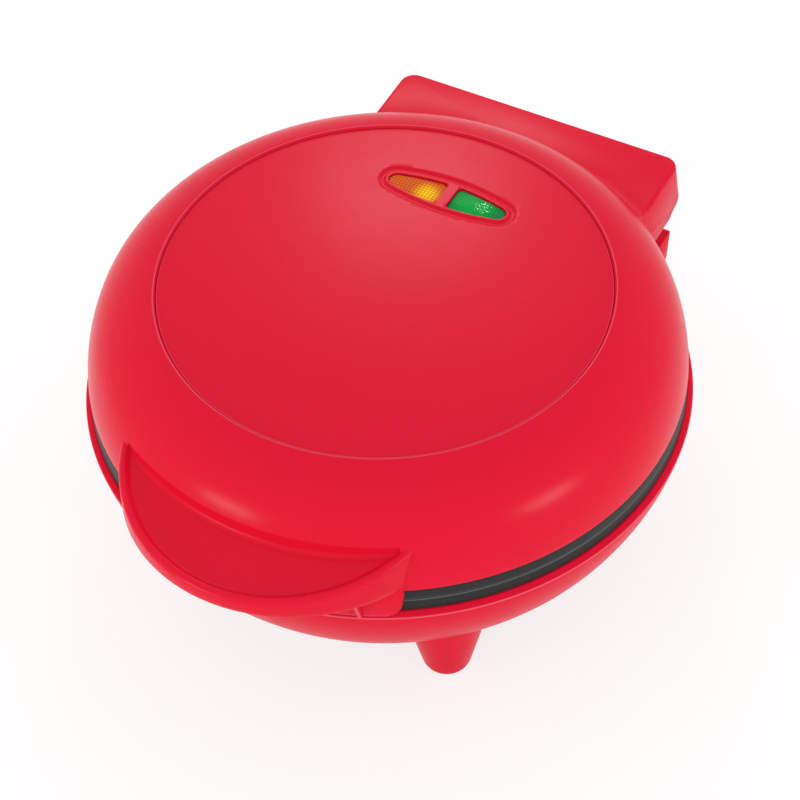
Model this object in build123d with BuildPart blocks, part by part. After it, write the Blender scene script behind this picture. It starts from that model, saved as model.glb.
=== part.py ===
from build123d import *
from math import acos, asin, cos, degrees, radians, sin, sqrt, tan
import os

os.makedirs("parts", exist_ok=True)

# Round omelette maker, lid closed. Millimetres, +Z up, standing on z = 0.
# The handle is at -Y and the hinge at +Y.

# Base bowl
wall = 2.4
rim_radius = 98.0
rim_bevel_width = 1.8
rim_bevel_height = 2.1
seat_width = 2.8
base_depth = 30.4
base_taper = 13.9
base_wall_bulge = 1.8
base_corner_radius = 6.0
floor_inset = 1.3

# Feet
foot_height = 33.5
foot_end_radius = 7.2
foot_root_radius = 16.0
foot_rounding = 2.5
foot_inset = 16.5
foot_bearing = 47.8

# Cooking plates
plate_inset = 2.1
flange_thickness = 4.05
parting_gap = 0.3
casting_step = 9.9
plate_floor = 3.0
lower_pocket_depth = 11.0
upper_pocket_depth = 9.0
pocket_wall = 5.0
divider_width = 14.0
pocket_corner = 12.0
pocket_draft = 14.0
bead_width = 2.0
bead_height = 0.5
bead_offset = 2.2
bead_clearance = 0.5

# Heating elements, their clamps and the heat shields
element_ring_radius = 46.0
element_tube_radius = 3.3
element_tail_gap = 2.2
element_bend_radius = 8.0
element_tail_reach = 8.0
terminal_radius = 1.4
terminal_length = 9.0
sheet_clearance = 0.05
clamp_thickness = 0.9
clamp_inner_margin = 7.0
clamp_boss_gap = 0.9
clamp_edge = 3.8
clamp_boss_radius = 3.0
shield_thickness = 0.6
shield_margin = 7.5
shield_rim_height = 3.0

# Fixings
mount_gap = 0.5
boss_radius = 4.5
boss_height = 11.5
post_radius = 5.4
screw_radius = 1.9
screw_head_radius = 3.4
screw_head_height = 2.2
screw_grip = 8.0
screw_head_sink = 3.0
small_screw_radius = 1.3
small_head_radius = 2.4
small_head_height = 1.6
small_screw_grip = 4.5
tapped_clearance = 0.05
drilled_clearance = 0.3

# Lid shell
lid_overhang = 0.1
side_curve = 47.0
side_angle = 21.3
shoulder_curve = 27.8
shoulder_angle = 76.0
opening_bevel_width = 1.8
opening_bevel_drop = 1.35
disc_clearance = 0.3
disc_crown = 2.5
disc_thickness = 2.2
disc_skirt_thickness = 2.4
disc_edge_rounding = 0.5
recess_depth = 3.6
peg_radius = 2.0
peg_inset = 7.5
peg_length = 4.2

# Lamp window
window_offset = 42.9
window_length = 48.0
window_width = 16.8
window_end_radius = 6.0
window_groove_width = 2.35
window_groove_depth = 0.8
window_ring_width = 0.8
window_bridge = 3.6
lens_corner = 1.6
lens_sink = 0.7
lens_height = 5.0
lens_flange = 1.2
lens_flange_height = 1.0
lens_flange_gap = 0.35
lens_clearance = 0.15
carrier_wall = 1.4
carrier_depth = 8.0
carrier_ear = 8.0
carrier_inset = -1.5
lamp_opening_length = 56.0
lamp_opening_width = 24.0
lamp_radius = 2.6
lamp_length = 5.0

# Handle and front skirt
handle_radius = 53.0
handle_setback = 34.0
handle_bottom = 4.1
handle_height = 18.7
handle_slope = 9.7
handle_rim = 3.6
handle_dish_depth = 1.4
handle_rounding = 1.8
handle_root_fillet = 5.5
dish_back_margin = 6.0
skirt_gap = 0.6
skirt_thickness = 1.9
skirt_clearance = 0.4
skirt_inset = 4.0
skirt_corner = 5.0
rib_thickness = 1.6
rib_reach = 6.0
rib_toe = 1.5
rib_rise = 6.0
rib_positions = (28.0, 38.0)

# Hinge
hinge_setback = 1.0
hinge_drop = 10.9
knuckle_radius = 9.6
knuckle_gap = 0.6
ear_width = 12.5
ear_root = 30.0
ear_root_drop = 3.0
arm_width = 7.9
arm_end_radius = 7.5
arm_clearance = 0.3
pin_radius = 4.0
pin_bore_radius = 2.6
pin_flange_radius = 6.0
pin_flange_thickness = 1.5
running_clearance = 0.05
block_half_width = 51.0
block_reach = 14.0
block_height = 11.7
block_side_rounding = 3.5
block_top_rounding = 1.6
block_blend = 7.0
block_skew = 8.0
skirt_wall_clearance = 3.8
side_wall_toe = 1.5
rear_wall_toe = 0.5
side_wall_end = 5.5
ear_shelf_start = 2.5
ear_shelf_end = 6.6
rear_wall_start = 7.4
rear_wall_lip = 3.0
rear_wall_rise = 4.0
arm_step = 3.4
cord_notch_width = 26.0
cord_notch_height = 12.0

# Cord inlet and wiring
gland_height = 14.5
gland_setback = 0.5
gland_boss_radius = 10.0
gland_radius = 6.5
gland_flange_radius = 8.6
gland_flange_thickness = 1.6
gland_length = 13.0
cord_bore_radius = 3.6
lead_radius = 1.2
lead_offset = 1.6
lead_bend = 6.0
lead_clearance = 2.0
block_port_spacing = 8.0
block_width = 18.0
block_length = 9.0
block_thickness = 7.0
block_spacing = 5.5
lead_hole_x = 20.0
lead_hole_rise = 5.6
lead_hole_radius = 3.0

# Thermostat and thermal fuse
thermostat_radius = 8.2
bracket_width = 12.0
bracket_lap = 5.0
bracket_thickness = 0.8
fuse_radius = 2.0
fuse_length = 12.0
clip_width = 7.0
clip_thickness = 0.6
clip_foot = 4.0

# Plan sizes that follow from those above
base_bottom_radius = rim_radius - base_taper
plate_radius = rim_radius - plate_inset
lid_edge_radius = plate_radius + lid_overhang
casting_radius = plate_radius - casting_step
pocket_radius = casting_radius - pocket_wall
clamp_inner_radius = element_ring_radius - clamp_inner_margin
clamp_screw_circle = element_ring_radius + element_tube_radius + clamp_boss_gap + clamp_boss_radius
clamp_outer_radius = clamp_screw_circle + clamp_edge
mount_circle = clamp_outer_radius + mount_gap + boss_radius
shield_radius = mount_circle + boss_radius + shield_margin
bracket_length = 2 * (clamp_inner_radius + bracket_lap)
element_tail_half = boss_radius + element_tail_gap + element_tube_radius
element_tail_end = mount_circle + element_tail_reach
foot_spacing_x = 2 * (base_bottom_radius - foot_inset) * cos(radians(foot_bearing))
foot_spacing_y = 2 * (base_bottom_radius - foot_inset) * sin(radians(foot_bearing))
handle_centre = lid_edge_radius - handle_setback
skirt_half_width = handle_radius - skirt_inset
ear_outer = block_half_width
ear_inner = ear_outer - ear_width
gland_face = rim_radius - gland_setback

# Heights up the stack
base_bottom = foot_height
floor_height = base_bottom + wall
rim_crest = base_bottom + base_depth
plate_seat = rim_crest + rim_bevel_height
lower_face = plate_seat + flange_thickness
upper_face = lower_face + parting_gap
lid_edge = upper_face + flange_thickness
lower_casting = lower_face - lower_pocket_depth - plate_floor
upper_casting = upper_face + upper_pocket_depth + plate_floor
element_gap = element_tube_radius + sheet_clearance
lower_element_height = lower_casting - element_gap
upper_element_height = upper_casting + element_gap
lower_clamp_face = lower_casting - 2 * element_gap
upper_clamp_face = upper_casting + 2 * element_gap
lower_shield_face = lower_casting - boss_height
upper_shield_face = upper_casting + boss_height

# Lid profile: a tall side arc that runs on into a tighter shoulder arc
side_centre = (lid_edge_radius - side_curve, lid_edge)
shoulder_centre = (
    side_centre[0] + (side_curve - shoulder_curve) * cos(radians(side_angle)),
    side_centre[1] + (side_curve - shoulder_curve) * sin(radians(side_angle)),
)
shoulder_end = (
    shoulder_centre[0] + shoulder_curve * cos(radians(shoulder_angle)),
    shoulder_centre[1] + shoulder_curve * sin(radians(shoulder_angle)),
)
opening_radius = shoulder_end[0] - opening_bevel_width
opening_edge = shoulder_end[1] - opening_bevel_drop
disc_radius = opening_radius - disc_clearance
peg_circle = disc_radius - peg_inset
disc_edge = opening_edge + disc_edge_rounding
recess_floor = disc_edge - recess_depth
recess_ceiling = recess_floor - wall

# Hinge line and the body's place between the handle's tip and the hinge's back
hinge_y = rim_radius + hinge_setback
hinge_height = rim_crest - hinge_drop
handle_reach = handle_centre + handle_radius
rear_reach = hinge_y + block_reach
body_y = (handle_reach - rear_reach) / 2
hinge_line_y = body_y + hinge_y
block_top = lid_edge + block_height
seat_radius = rim_radius - rim_bevel_width

section = Plane(origin=(0, body_y, 0), x_dir=(1, 0, 0), z_dir=(0, -1, 0))
spindle = Axis((0, body_y, 0), (0, 0, 1))


def level(height):
    """Horizontal plane about the body's centre."""
    return Plane((0, body_y, height))


def across(x):
    """Upright plane facing +X, with world Y and Z as its own axes."""
    return Plane.YZ.offset(x)


def half_disc_outline(radius, half_gap, corner):
    """Right-hand half-moon, cut back from the centre line, with rounded corners."""
    with BuildSketch() as outline:
        Circle(radius)
        with Locations((-radius + half_gap, 0)):
            Rectangle(2 * radius, 2 * radius, mode=Mode.SUBTRACT)
        fillet(outline.vertices(), corner)
    return outline.sketch


def window_outline(inset=0):
    """Long oval of two flat side arcs and two end arcs, drawn inwards by the inset."""
    half_length = window_length / 2 - inset
    half_width = window_width / 2 - inset
    end_radius = window_end_radius - inset
    end_x = half_length - end_radius
    side_radius = (end_x**2 + half_width**2 - end_radius**2) / (2 * (half_width - end_radius))
    reach = side_radius / (side_radius - end_radius)
    tangent_x = end_x * reach
    tangent_y = half_width - side_radius + (side_radius - half_width) * reach
    with BuildSketch() as outline:
        with BuildLine():
            ThreePointArc((-tangent_x, tangent_y), (0, half_width), (tangent_x, tangent_y))
            ThreePointArc((tangent_x, tangent_y), (half_length, 0), (tangent_x, -tangent_y))
            ThreePointArc((tangent_x, -tangent_y), (0, -half_width), (-tangent_x, -tangent_y))
            ThreePointArc((-tangent_x, -tangent_y), (-half_length, 0), (-tangent_x, tangent_y))
        make_face()
    return outline.sketch


def lens_outline(inset=0):
    """Right-hand lens opening: half of the window oval beside the bridge."""
    with BuildSketch() as outline:
        add(window_outline(window_groove_width + window_ring_width + inset))
        with Locations((-window_length + window_bridge / 2 + inset, 0)):
            Rectangle(2 * window_length, window_length, mode=Mode.SUBTRACT)
        fillet(outline.vertices().sort_by(Axis.X)[0:2], lens_corner)
    return outline.sketch


def element_path():
    """Ring with a gap at the back and two tails that turn out of it."""
    bend_x = element_tail_half + element_bend_radius
    reach = element_ring_radius + element_bend_radius
    bend_y = sqrt(reach**2 - bend_x**2)
    open_angle = 90 - degrees(asin(bend_x / reach))
    with BuildLine() as path:
        CenterArc((0, 0), element_ring_radius, 180 - open_angle, 180 + 2 * open_angle)
        for side in (1, -1):
            turn = ThreePointArc(
                (side * element_ring_radius * bend_x / reach, element_ring_radius * bend_y / reach),
                (
                    side * (bend_x - element_bend_radius * cos(radians(open_angle / 2))),
                    bend_y - element_bend_radius * sin(radians(open_angle / 2)),
                ),
                (side * element_tail_half, bend_y),
            )
            Line(turn @ 1, (side * element_tail_half, element_tail_end))
    return path.wires()[0]


def tube(points, bends, radius):
    """Round lead along straight runs joined by arcs."""
    with BuildLine() as path:
        FilletPolyline(*points, radius=bends)
    start = path.wires()[0] ^ 0
    with BuildPart() as lead:
        with BuildSketch(Plane(start.position, z_dir=start.z_axis.direction)):
            Circle(radius)
        sweep(path=path.wires()[0])
    return lead.part


# Base housing: bowl, hinge ears, cone feet, screw posts and the boss for the cord
with BuildPart() as base_housing:
    with BuildSketch(section):
        with BuildLine():
            Polyline(
                (0, rim_crest),
                (0, base_bottom),
                (base_bottom_radius, base_bottom),
            )
            SagittaArc((base_bottom_radius, base_bottom), (rim_radius, rim_crest), -base_wall_bulge)
            Polyline(
                (rim_radius, rim_crest),
                (seat_radius, plate_seat),
                (0, plate_seat),
                (0, rim_crest),
            )
        make_face()
    revolve(axis=spindle)
    fillet(base_housing.edges().filter_by(GeomType.CIRCLE).group_by(Axis.Z)[0], base_corner_radius)

    with Locations(level(0)):
        with GridLocations(foot_spacing_x, foot_spacing_y, 2, 2):
            Cone(
                foot_end_radius,
                foot_root_radius,
                foot_height + wall,
                align=(Align.CENTER, Align.CENTER, Align.MIN),
            )
    fillet(base_housing.edges().filter_by(GeomType.CIRCLE).group_by(Axis.Z)[0], foot_rounding)

    for side in (-1, 1):
        with BuildSketch(across(side * (ear_inner + ear_outer) / 2)):
            with Locations((hinge_line_y, hinge_height)):
                Circle(knuckle_radius)
            with BuildLine():
                Polyline(
                    (hinge_line_y, hinge_height + knuckle_radius),
                    (hinge_line_y - ear_root, hinge_height + knuckle_radius),
                    (hinge_line_y - ear_root, hinge_height - knuckle_radius - ear_root_drop),
                    (hinge_line_y, hinge_height - knuckle_radius),
                    close=True,
                )
            make_face()
        extrude(amount=(ear_outer - ear_inner) / 2, both=True)
    with BuildSketch(Plane.XZ.offset(-body_y)):
        with Locations((0, base_bottom + gland_height)):
            Circle(gland_boss_radius)
    extrude(amount=-gland_face)

    with BuildSketch(section):
        with BuildLine():
            Polyline(
                (0, plate_seat),
                (0, floor_height),
                (base_bottom_radius - floor_inset, floor_height),
            )
            SagittaArc(
                (base_bottom_radius - floor_inset, floor_height),
                (seat_radius - seat_width, plate_seat),
                -base_wall_bulge,
            )
            Line((seat_radius - seat_width, plate_seat), (0, plate_seat))
        make_face()
    revolve(axis=spindle, mode=Mode.SUBTRACT)

    with Locations(level(wall)):
        with GridLocations(foot_spacing_x, foot_spacing_y, 2, 2):
            Cone(
                foot_end_radius - wall,
                foot_root_radius - wall,
                foot_height,
                align=(Align.CENTER, Align.CENTER, Align.MIN),
                mode=Mode.SUBTRACT,
            )
    for side in (-1, 1):
        with BuildSketch(across(side * (ear_inner + ear_outer) / 2)):
            with Locations((hinge_line_y, hinge_height)):
                Circle(knuckle_radius - wall)
            with BuildLine():
                Polyline(
                    (hinge_line_y, hinge_height + knuckle_radius - wall),
                    (hinge_line_y - ear_root, hinge_height + knuckle_radius - wall),
                    (hinge_line_y - ear_root, hinge_height - knuckle_radius),
                    (hinge_line_y, hinge_height - knuckle_radius + wall),
                    close=True,
                )
            make_face()
        extrude(amount=(ear_outer - ear_inner) / 2 - wall, both=True, mode=Mode.SUBTRACT)

    with Locations(level(floor_height)):
        with PolarLocations(mount_circle, 4):
            Cylinder(
                post_radius,
                lower_shield_face - shield_thickness - floor_height,
                align=(Align.CENTER, Align.CENTER, Align.MIN),
            )
    with Locations(level(base_bottom)):
        with PolarLocations(mount_circle, 4):
            Cylinder(
                screw_head_radius + drilled_clearance,
                screw_head_sink,
                align=(Align.CENTER, Align.CENTER, Align.MIN),
                mode=Mode.SUBTRACT,
            )
            Cylinder(
                screw_radius + drilled_clearance,
                boss_height + lower_casting - base_bottom,
                align=(Align.CENTER, Align.CENTER, Align.MIN),
                mode=Mode.SUBTRACT,
            )
    with Locations(Plane(origin=(0, hinge_line_y, hinge_height), z_dir=(1, 0, 0))):
        Cylinder(pin_radius + running_clearance, 2 * (ear_inner + wall + 1), mode=Mode.SUBTRACT)
    with Locations(Plane(origin=(0, body_y, base_bottom + gland_height), z_dir=(0, 1, 0))):
        Cylinder(
            gland_radius + running_clearance,
            gland_face + 1,
            align=(Align.CENTER, Align.CENTER, Align.MIN),
            mode=Mode.SUBTRACT,
        )
base_housing.part.label = "base_housing"

# Cord inlet: a flanged bush in the back of the bowl
with BuildPart() as cord_gland:
    with Locations(Plane(origin=(0, body_y + gland_face, base_bottom + gland_height), z_dir=(0, 1, 0))):
        Cylinder(gland_radius, gland_length, align=(Align.CENTER, Align.CENTER, Align.MAX))
        Cylinder(
            gland_flange_radius,
            gland_flange_thickness,
            align=(Align.CENTER, Align.CENTER, Align.MIN),
        )
    fillet(cord_gland.edges().filter_by(GeomType.CIRCLE).group_by(Axis.Y)[-1], gland_flange_thickness / 3)
    with Locations(Plane(origin=(0, body_y + gland_face, base_bottom + gland_height), z_dir=(0, 1, 0))):
        Cylinder(cord_bore_radius, 4 * gland_length, mode=Mode.SUBTRACT)
cord_gland.part.label = "cord_gland"


def half_moon_pair(offset_out):
    """Both half-moon outlines, grown or shrunk together."""
    moon = half_disc_outline(
        pocket_radius + offset_out,
        divider_width / 2 - offset_out,
        pocket_corner + offset_out,
    )
    return Sketch() + [moon, mirror(moon, about=Plane.YZ)]


# Lower cooking plate: flange, round casting, two half-moon pockets with a raised bead
with BuildPart() as lower_cooking_plate:
    with BuildSketch(level(plate_seat)):
        Circle(plate_radius)
    extrude(amount=flange_thickness)
    with BuildSketch(level(lower_casting)):
        Circle(casting_radius)
    extrude(amount=plate_seat - lower_casting)
    with BuildSketch(level(lower_face)):
        add(half_moon_pair(bead_offset + bead_width / 2))
    extrude(amount=bead_height)
    with BuildSketch(level(lower_face)):
        add(half_moon_pair(bead_offset - bead_width / 2))
    extrude(amount=bead_height, mode=Mode.SUBTRACT)
    with BuildSketch(level(lower_face)):
        add(half_moon_pair(0))
    extrude(amount=-lower_pocket_depth, taper=pocket_draft, mode=Mode.SUBTRACT)
    with Locations(level(lower_shield_face)):
        with PolarLocations(mount_circle, 4):
            Cylinder(boss_radius, boss_height, align=(Align.CENTER, Align.CENTER, Align.MIN))
    with Locations(level(lower_clamp_face)):
        with PolarLocations(clamp_screw_circle, 4, start_angle=45):
            Cylinder(
                clamp_boss_radius,
                lower_casting - lower_clamp_face,
                align=(Align.CENTER, Align.CENTER, Align.MIN),
            )
    with Locations(level(lower_shield_face)):
        with PolarLocations(mount_circle, 4):
            Cylinder(
                screw_radius + tapped_clearance,
                screw_grip + 1,
                align=(Align.CENTER, Align.CENTER, Align.MIN),
                mode=Mode.SUBTRACT,
            )
    with Locations(level(lower_clamp_face)):
        with PolarLocations(clamp_screw_circle, 4, start_angle=45):
            Cylinder(
                small_screw_radius + tapped_clearance,
                small_screw_grip + 0.5,
                align=(Align.CENTER, Align.CENTER, Align.MIN),
                mode=Mode.SUBTRACT,
            )
lower_cooking_plate.part.label = "lower_cooking_plate"

# Upper cooking plate: shallower pockets, and a groove that takes the lower plate's bead
with BuildPart() as upper_cooking_plate:
    with BuildSketch(level(upper_face)):
        Circle(plate_radius)
    extrude(amount=flange_thickness)
    with BuildSketch(level(lid_edge)):
        Circle(casting_radius)
    extrude(amount=upper_casting - lid_edge)
    with BuildSketch(level(upper_face)):
        add(half_moon_pair(bead_offset + bead_width / 2 + bead_clearance))
        add(half_moon_pair(bead_offset - bead_width / 2 - bead_clearance), mode=Mode.SUBTRACT)
    extrude(amount=bead_height + bead_clearance, mode=Mode.SUBTRACT)
    with BuildSketch(level(upper_face)):
        add(half_moon_pair(0))
    extrude(amount=upper_pocket_depth, taper=pocket_draft, mode=Mode.SUBTRACT)
    with Locations(level(upper_casting)):
        with PolarLocations(mount_circle, 4):
            Cylinder(boss_radius, boss_height, align=(Align.CENTER, Align.CENTER, Align.MIN))
        with PolarLocations(clamp_screw_circle, 4, start_angle=45):
            Cylinder(
                clamp_boss_radius,
                upper_clamp_face - upper_casting,
                align=(Align.CENTER, Align.CENTER, Align.MIN),
            )
    with Locations(level(upper_shield_face)):
        with PolarLocations(mount_circle, 4):
            Cylinder(
                screw_radius + tapped_clearance,
                screw_grip + 1,
                align=(Align.CENTER, Align.CENTER, Align.MAX),
                mode=Mode.SUBTRACT,
            )
    with Locations(level(upper_clamp_face)):
        with PolarLocations(clamp_screw_circle, 4, start_angle=45):
            Cylinder(
                small_screw_radius + tapped_clearance,
                small_screw_grip + 0.5,
                align=(Align.CENTER, Align.CENTER, Align.MAX),
                mode=Mode.SUBTRACT,
            )
upper_cooking_plate.part.label = "upper_cooking_plate"


def heating_element(height):
    """Sheathed tube with a terminal pin in each tail."""
    route = level(height) * element_path()
    start = route ^ 0
    with BuildPart() as element:
        with BuildSketch(Plane(start.position, z_dir=start.z_axis.direction)):
            Circle(element_tube_radius)
        sweep(path=route)
        for side in (-1, 1):
            tail = (side * element_tail_half, body_y + element_tail_end, height)
            with Locations(Plane(origin=tail, z_dir=(0, 1, 0))):
                Cylinder(terminal_radius, terminal_length, align=(Align.CENTER, Align.CENTER, Align.MIN))
    return element.part


def clamp_ring(face, direction):
    """Flat ring that presses the element against the plate, from its element side outwards."""
    with BuildPart() as ring:
        with BuildSketch(level(face)):
            Circle(clamp_outer_radius)
            Circle(clamp_inner_radius, mode=Mode.SUBTRACT)
            with PolarLocations(clamp_screw_circle, 4, start_angle=45):
                Circle(small_screw_radius + drilled_clearance, mode=Mode.SUBTRACT)
        extrude(amount=direction * clamp_thickness)
    return ring.part


def heat_shield(face, direction):
    """Sheet disc with a rim turned back towards the plate."""
    rim_base = min(face, face + direction * shield_thickness)
    with BuildPart() as shield:
        with BuildSketch(level(face)):
            Circle(shield_radius)
            with PolarLocations(mount_circle, 4):
                Circle(screw_radius + drilled_clearance, mode=Mode.SUBTRACT)
        extrude(amount=direction * shield_thickness)
        with BuildSketch(level(face)):
            Circle(shield_radius)
            Circle(shield_radius - shield_thickness, mode=Mode.SUBTRACT)
        extrude(amount=-direction * shield_rim_height)
    return shield.part


def screws(seat, direction, circle, first_angle, shank, length, head, head_height):
    """Four pan-head screws on a circle, heads at the seat, shanks along the direction."""
    shank_align = Align.MIN if direction > 0 else Align.MAX
    head_align = Align.MAX if direction > 0 else Align.MIN
    with BuildPart() as group:
        with Locations(level(seat)):
            with PolarLocations(circle, 4, start_angle=first_angle):
                Cylinder(shank, length, align=(Align.CENTER, Align.CENTER, shank_align))
                Cylinder(head, head_height, align=(Align.CENTER, Align.CENTER, head_align))
    return group.part


lower_heating_element = heating_element(lower_element_height)
lower_heating_element.label = "lower_heating_element"
upper_heating_element = heating_element(upper_element_height)
upper_heating_element.label = "upper_heating_element"

lower_element_clamp = clamp_ring(lower_clamp_face, -1)
lower_element_clamp.label = "lower_element_clamp"
upper_element_clamp = clamp_ring(upper_clamp_face, 1)
upper_element_clamp.label = "upper_element_clamp"

lower_heat_shield = heat_shield(lower_shield_face, -1)
lower_heat_shield.label = "lower_heat_shield"
upper_heat_shield = heat_shield(upper_shield_face, 1)
upper_heat_shield.label = "upper_heat_shield"

lower_screw_seat = base_bottom + screw_head_sink
lower_plate_screws = screws(
    lower_screw_seat,
    1,
    mount_circle,
    0,
    screw_radius,
    lower_shield_face + screw_grip - lower_screw_seat,
    screw_head_radius,
    screw_head_height,
)
lower_plate_screws.label = "lower_plate_screws"
upper_screw_seat = recess_floor - wall / 2
upper_plate_screws = screws(
    upper_screw_seat,
    -1,
    mount_circle,
    0,
    screw_radius,
    upper_screw_seat - upper_shield_face + screw_grip,
    screw_head_radius,
    screw_head_height,
)
upper_plate_screws.label = "upper_plate_screws"
lower_clamp_screws = screws(
    lower_clamp_face - clamp_thickness,
    1,
    clamp_screw_circle,
    45,
    small_screw_radius,
    clamp_thickness + small_screw_grip,
    small_head_radius,
    small_head_height,
)
lower_clamp_screws.label = "lower_clamp_screws"
upper_clamp_screws = screws(
    upper_clamp_face + clamp_thickness,
    -1,
    clamp_screw_circle,
    45,
    small_screw_radius,
    clamp_thickness + small_screw_grip,
    small_head_radius,
    small_head_height,
)
upper_clamp_screws.label = "upper_clamp_screws"

# Thermostat against the middle of the lower plate, on a strip under the clamp ring
bracket_face = lower_clamp_face - clamp_thickness
with BuildPart() as thermostat:
    with Locations(level(lower_casting)):
        Cylinder(
            thermostat_radius,
            lower_casting - bracket_face,
            align=(Align.CENTER, Align.CENTER, Align.MAX),
        )
    with BuildSketch(level(lower_casting - 2)):
        Rectangle(2.2 * thermostat_radius, 4)
    extrude(amount=-0.8)
    fillet(thermostat.edges().filter_by(GeomType.CIRCLE).group_by(Axis.Z)[-1], 0.4)
thermostat.part.label = "thermostat"

with BuildPart() as thermostat_bracket:
    with BuildSketch(level(bracket_face)):
        SlotOverall(bracket_length, bracket_width)
    extrude(amount=-bracket_thickness)
thermostat_bracket.part.label = "thermostat_bracket"

# Hinge pins: hollow flanged bushes from inside each ear into the lid's arm
with BuildPart() as hinge_pins:
    for side in (-1, 1):
        pin_start = (side * (ear_inner - arm_clearance - arm_width), hinge_line_y, hinge_height)
        flange_start = (side * (ear_inner + wall + running_clearance), hinge_line_y, hinge_height)
        pin_length = arm_width + arm_clearance + wall + running_clearance + pin_flange_thickness
        with Locations(Plane(origin=pin_start, z_dir=(side, 0, 0))):
            Cylinder(pin_radius, pin_length, align=(Align.CENTER, Align.CENTER, Align.MIN))
        with Locations(Plane(origin=flange_start, z_dir=(side, 0, 0))):
            Cylinder(pin_flange_radius, pin_flange_thickness, align=(Align.CENTER, Align.CENTER, Align.MIN))
        with Locations(Plane(origin=pin_start, z_dir=(side, 0, 0))):
            Cylinder(pin_bore_radius, 3 * pin_length, mode=Mode.SUBTRACT)
hinge_pins.part.label = "hinge_pins"

# Front skirt of the lid, which hangs over the plates down to the base rim
skirt_inner = lid_edge_radius + skirt_gap
skirt_outer = skirt_inner + skirt_thickness
bevel_slope = rim_bevel_height / rim_bevel_width
skirt_low = plate_seat + skirt_clearance - (skirt_inner - seat_radius) * bevel_slope
skirt_toe = skirt_low - skirt_thickness * bevel_slope
handle_floor = lid_edge + handle_bottom
with BuildPart() as front_skirt:
    with BuildSketch(section):
        with BuildLine():
            Polyline(
                (skirt_inner, skirt_low),
                (skirt_outer, skirt_toe),
                (skirt_outer, handle_floor),
                (lid_edge_radius - wall, handle_floor),
                (lid_edge_radius - wall, lid_edge),
                (skirt_inner, lid_edge),
                close=True,
            )
        make_face()
    revolve(axis=spindle)
    with BuildSketch(Plane.XZ.offset(-body_y)):
        with Locations((0, handle_floor)):
            RectangleRounded(2 * skirt_half_width, 2 * (handle_floor - skirt_toe), skirt_corner)
    extrude(amount=2 * rim_radius, mode=Mode.INTERSECT)

# Half-moon handle: sloping top with a shallow dish, hollow from below
handle_tilt = (0, -sin(radians(handle_slope)), cos(radians(handle_slope)))


def handle_plane(drop):
    """Sloping plane of the handle's top, lowered by the drop."""
    return Plane(
        origin=(0, body_y - handle_centre, lid_edge + handle_height - drop),
        x_dir=(1, 0, 0),
        z_dir=handle_tilt,
    )


def handle_cylinder(radius, drop, keep):
    """Upright cylinder of the handle's outline, cut along the sloping plane."""
    with BuildPart() as body:
        with BuildSketch(level(handle_floor)):
            with Locations((0, -handle_centre)):
                Circle(radius)
        extrude(amount=2 * handle_height)
        split(bisect_by=handle_plane(drop), keep=keep)
    return body.part


with BuildPart() as handle:
    add(handle_cylinder(handle_radius, 0, Keep.BOTTOM))
    fillet(handle.edges().sort_by(Axis.Z)[-1], handle_rounding)
    add(
        handle_cylinder(handle_radius - handle_rim, handle_dish_depth, Keep.TOP),
        mode=Mode.SUBTRACT,
    )
    add(
        handle_cylinder(handle_radius - wall, handle_dish_depth + wall, Keep.BOTTOM),
        mode=Mode.SUBTRACT,
    )

# Hinge block: side walls that reach down beside the plates, two arms on the hinge line
plate_clear_y = body_y + sqrt(plate_radius**2 - (block_half_width - wall) ** 2) + skirt_wall_clearance
block_rear = hinge_line_y + block_reach
ear_shelf = hinge_height + knuckle_radius + knuckle_gap
with BuildPart() as hinge_block:
    with BuildSketch(across(0)):
        with BuildLine():
            Polyline(
                (plate_clear_y - block_skew, block_top),
                (plate_clear_y, plate_seat + side_wall_toe),
                (hinge_line_y - side_wall_end, plate_seat + side_wall_toe),
                (hinge_line_y + ear_shelf_start, ear_shelf),
                (hinge_line_y + ear_shelf_end, ear_shelf),
                (hinge_line_y + rear_wall_start, plate_seat + rear_wall_toe),
                (block_rear - rear_wall_lip, plate_seat + rear_wall_toe),
                (block_rear, plate_seat + rear_wall_rise),
                (block_rear, block_top),
                close=True,
            )
        make_face()
    extrude(amount=block_half_width, both=True)
    fillet(hinge_block.edges().filter_by(Axis.Z).group_by(Axis.Y)[-1], block_side_rounding)
    rim_edges = hinge_block.faces().sort_by(Axis.Z)[-1].edges().sort_by(Axis.Y)[1:]
    fillet(rim_edges, block_top_rounding)
    with BuildSketch(level(plate_seat - block_height)):
        with Locations((0, block_rear - body_y - wall)):
            Rectangle(
                2 * (block_half_width - wall),
                block_rear,
                align=(Align.CENTER, Align.MAX),
            )
    extrude(amount=block_top - wall - plate_seat + block_height, mode=Mode.SUBTRACT)
    with BuildSketch(Plane.XZ.offset(-body_y)):
        with Locations((0, plate_seat)):
            Rectangle(cord_notch_width, 2 * cord_notch_height)
    extrude(amount=-rear_reach, mode=Mode.SUBTRACT)
    for side in (-1, 1):
        with BuildSketch(across(side * (ear_inner - arm_clearance - arm_width / 2))):
            with Locations((hinge_line_y, hinge_height)):
                Circle(arm_end_radius)
                Rectangle(
                    2 * arm_end_radius,
                    block_top - wall / 2 - hinge_height,
                    align=(Align.CENTER, Align.MIN),
                )
            with Locations((hinge_line_y - arm_end_radius, hinge_height)):
                Rectangle(
                    rim_radius - hinge_y + arm_end_radius - arm_step,
                    plate_seat,
                    align=(Align.MIN, Align.MIN),
                    mode=Mode.SUBTRACT,
                )
        extrude(amount=arm_width / 2, both=True)
    with Locations(Plane(origin=(0, hinge_line_y, hinge_height), z_dir=(1, 0, 0))):
        Cylinder(pin_radius + running_clearance, 2 * ear_inner, mode=Mode.SUBTRACT)

lead_hole_height = lid_edge + lead_hole_rise
lead_hole = (-lead_hole_x, hinge_line_y - 2 * wall, lead_hole_height)
rib_top = handle_floor + rib_rise
rib_bottom = (skirt_low + skirt_toe) / 2


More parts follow.
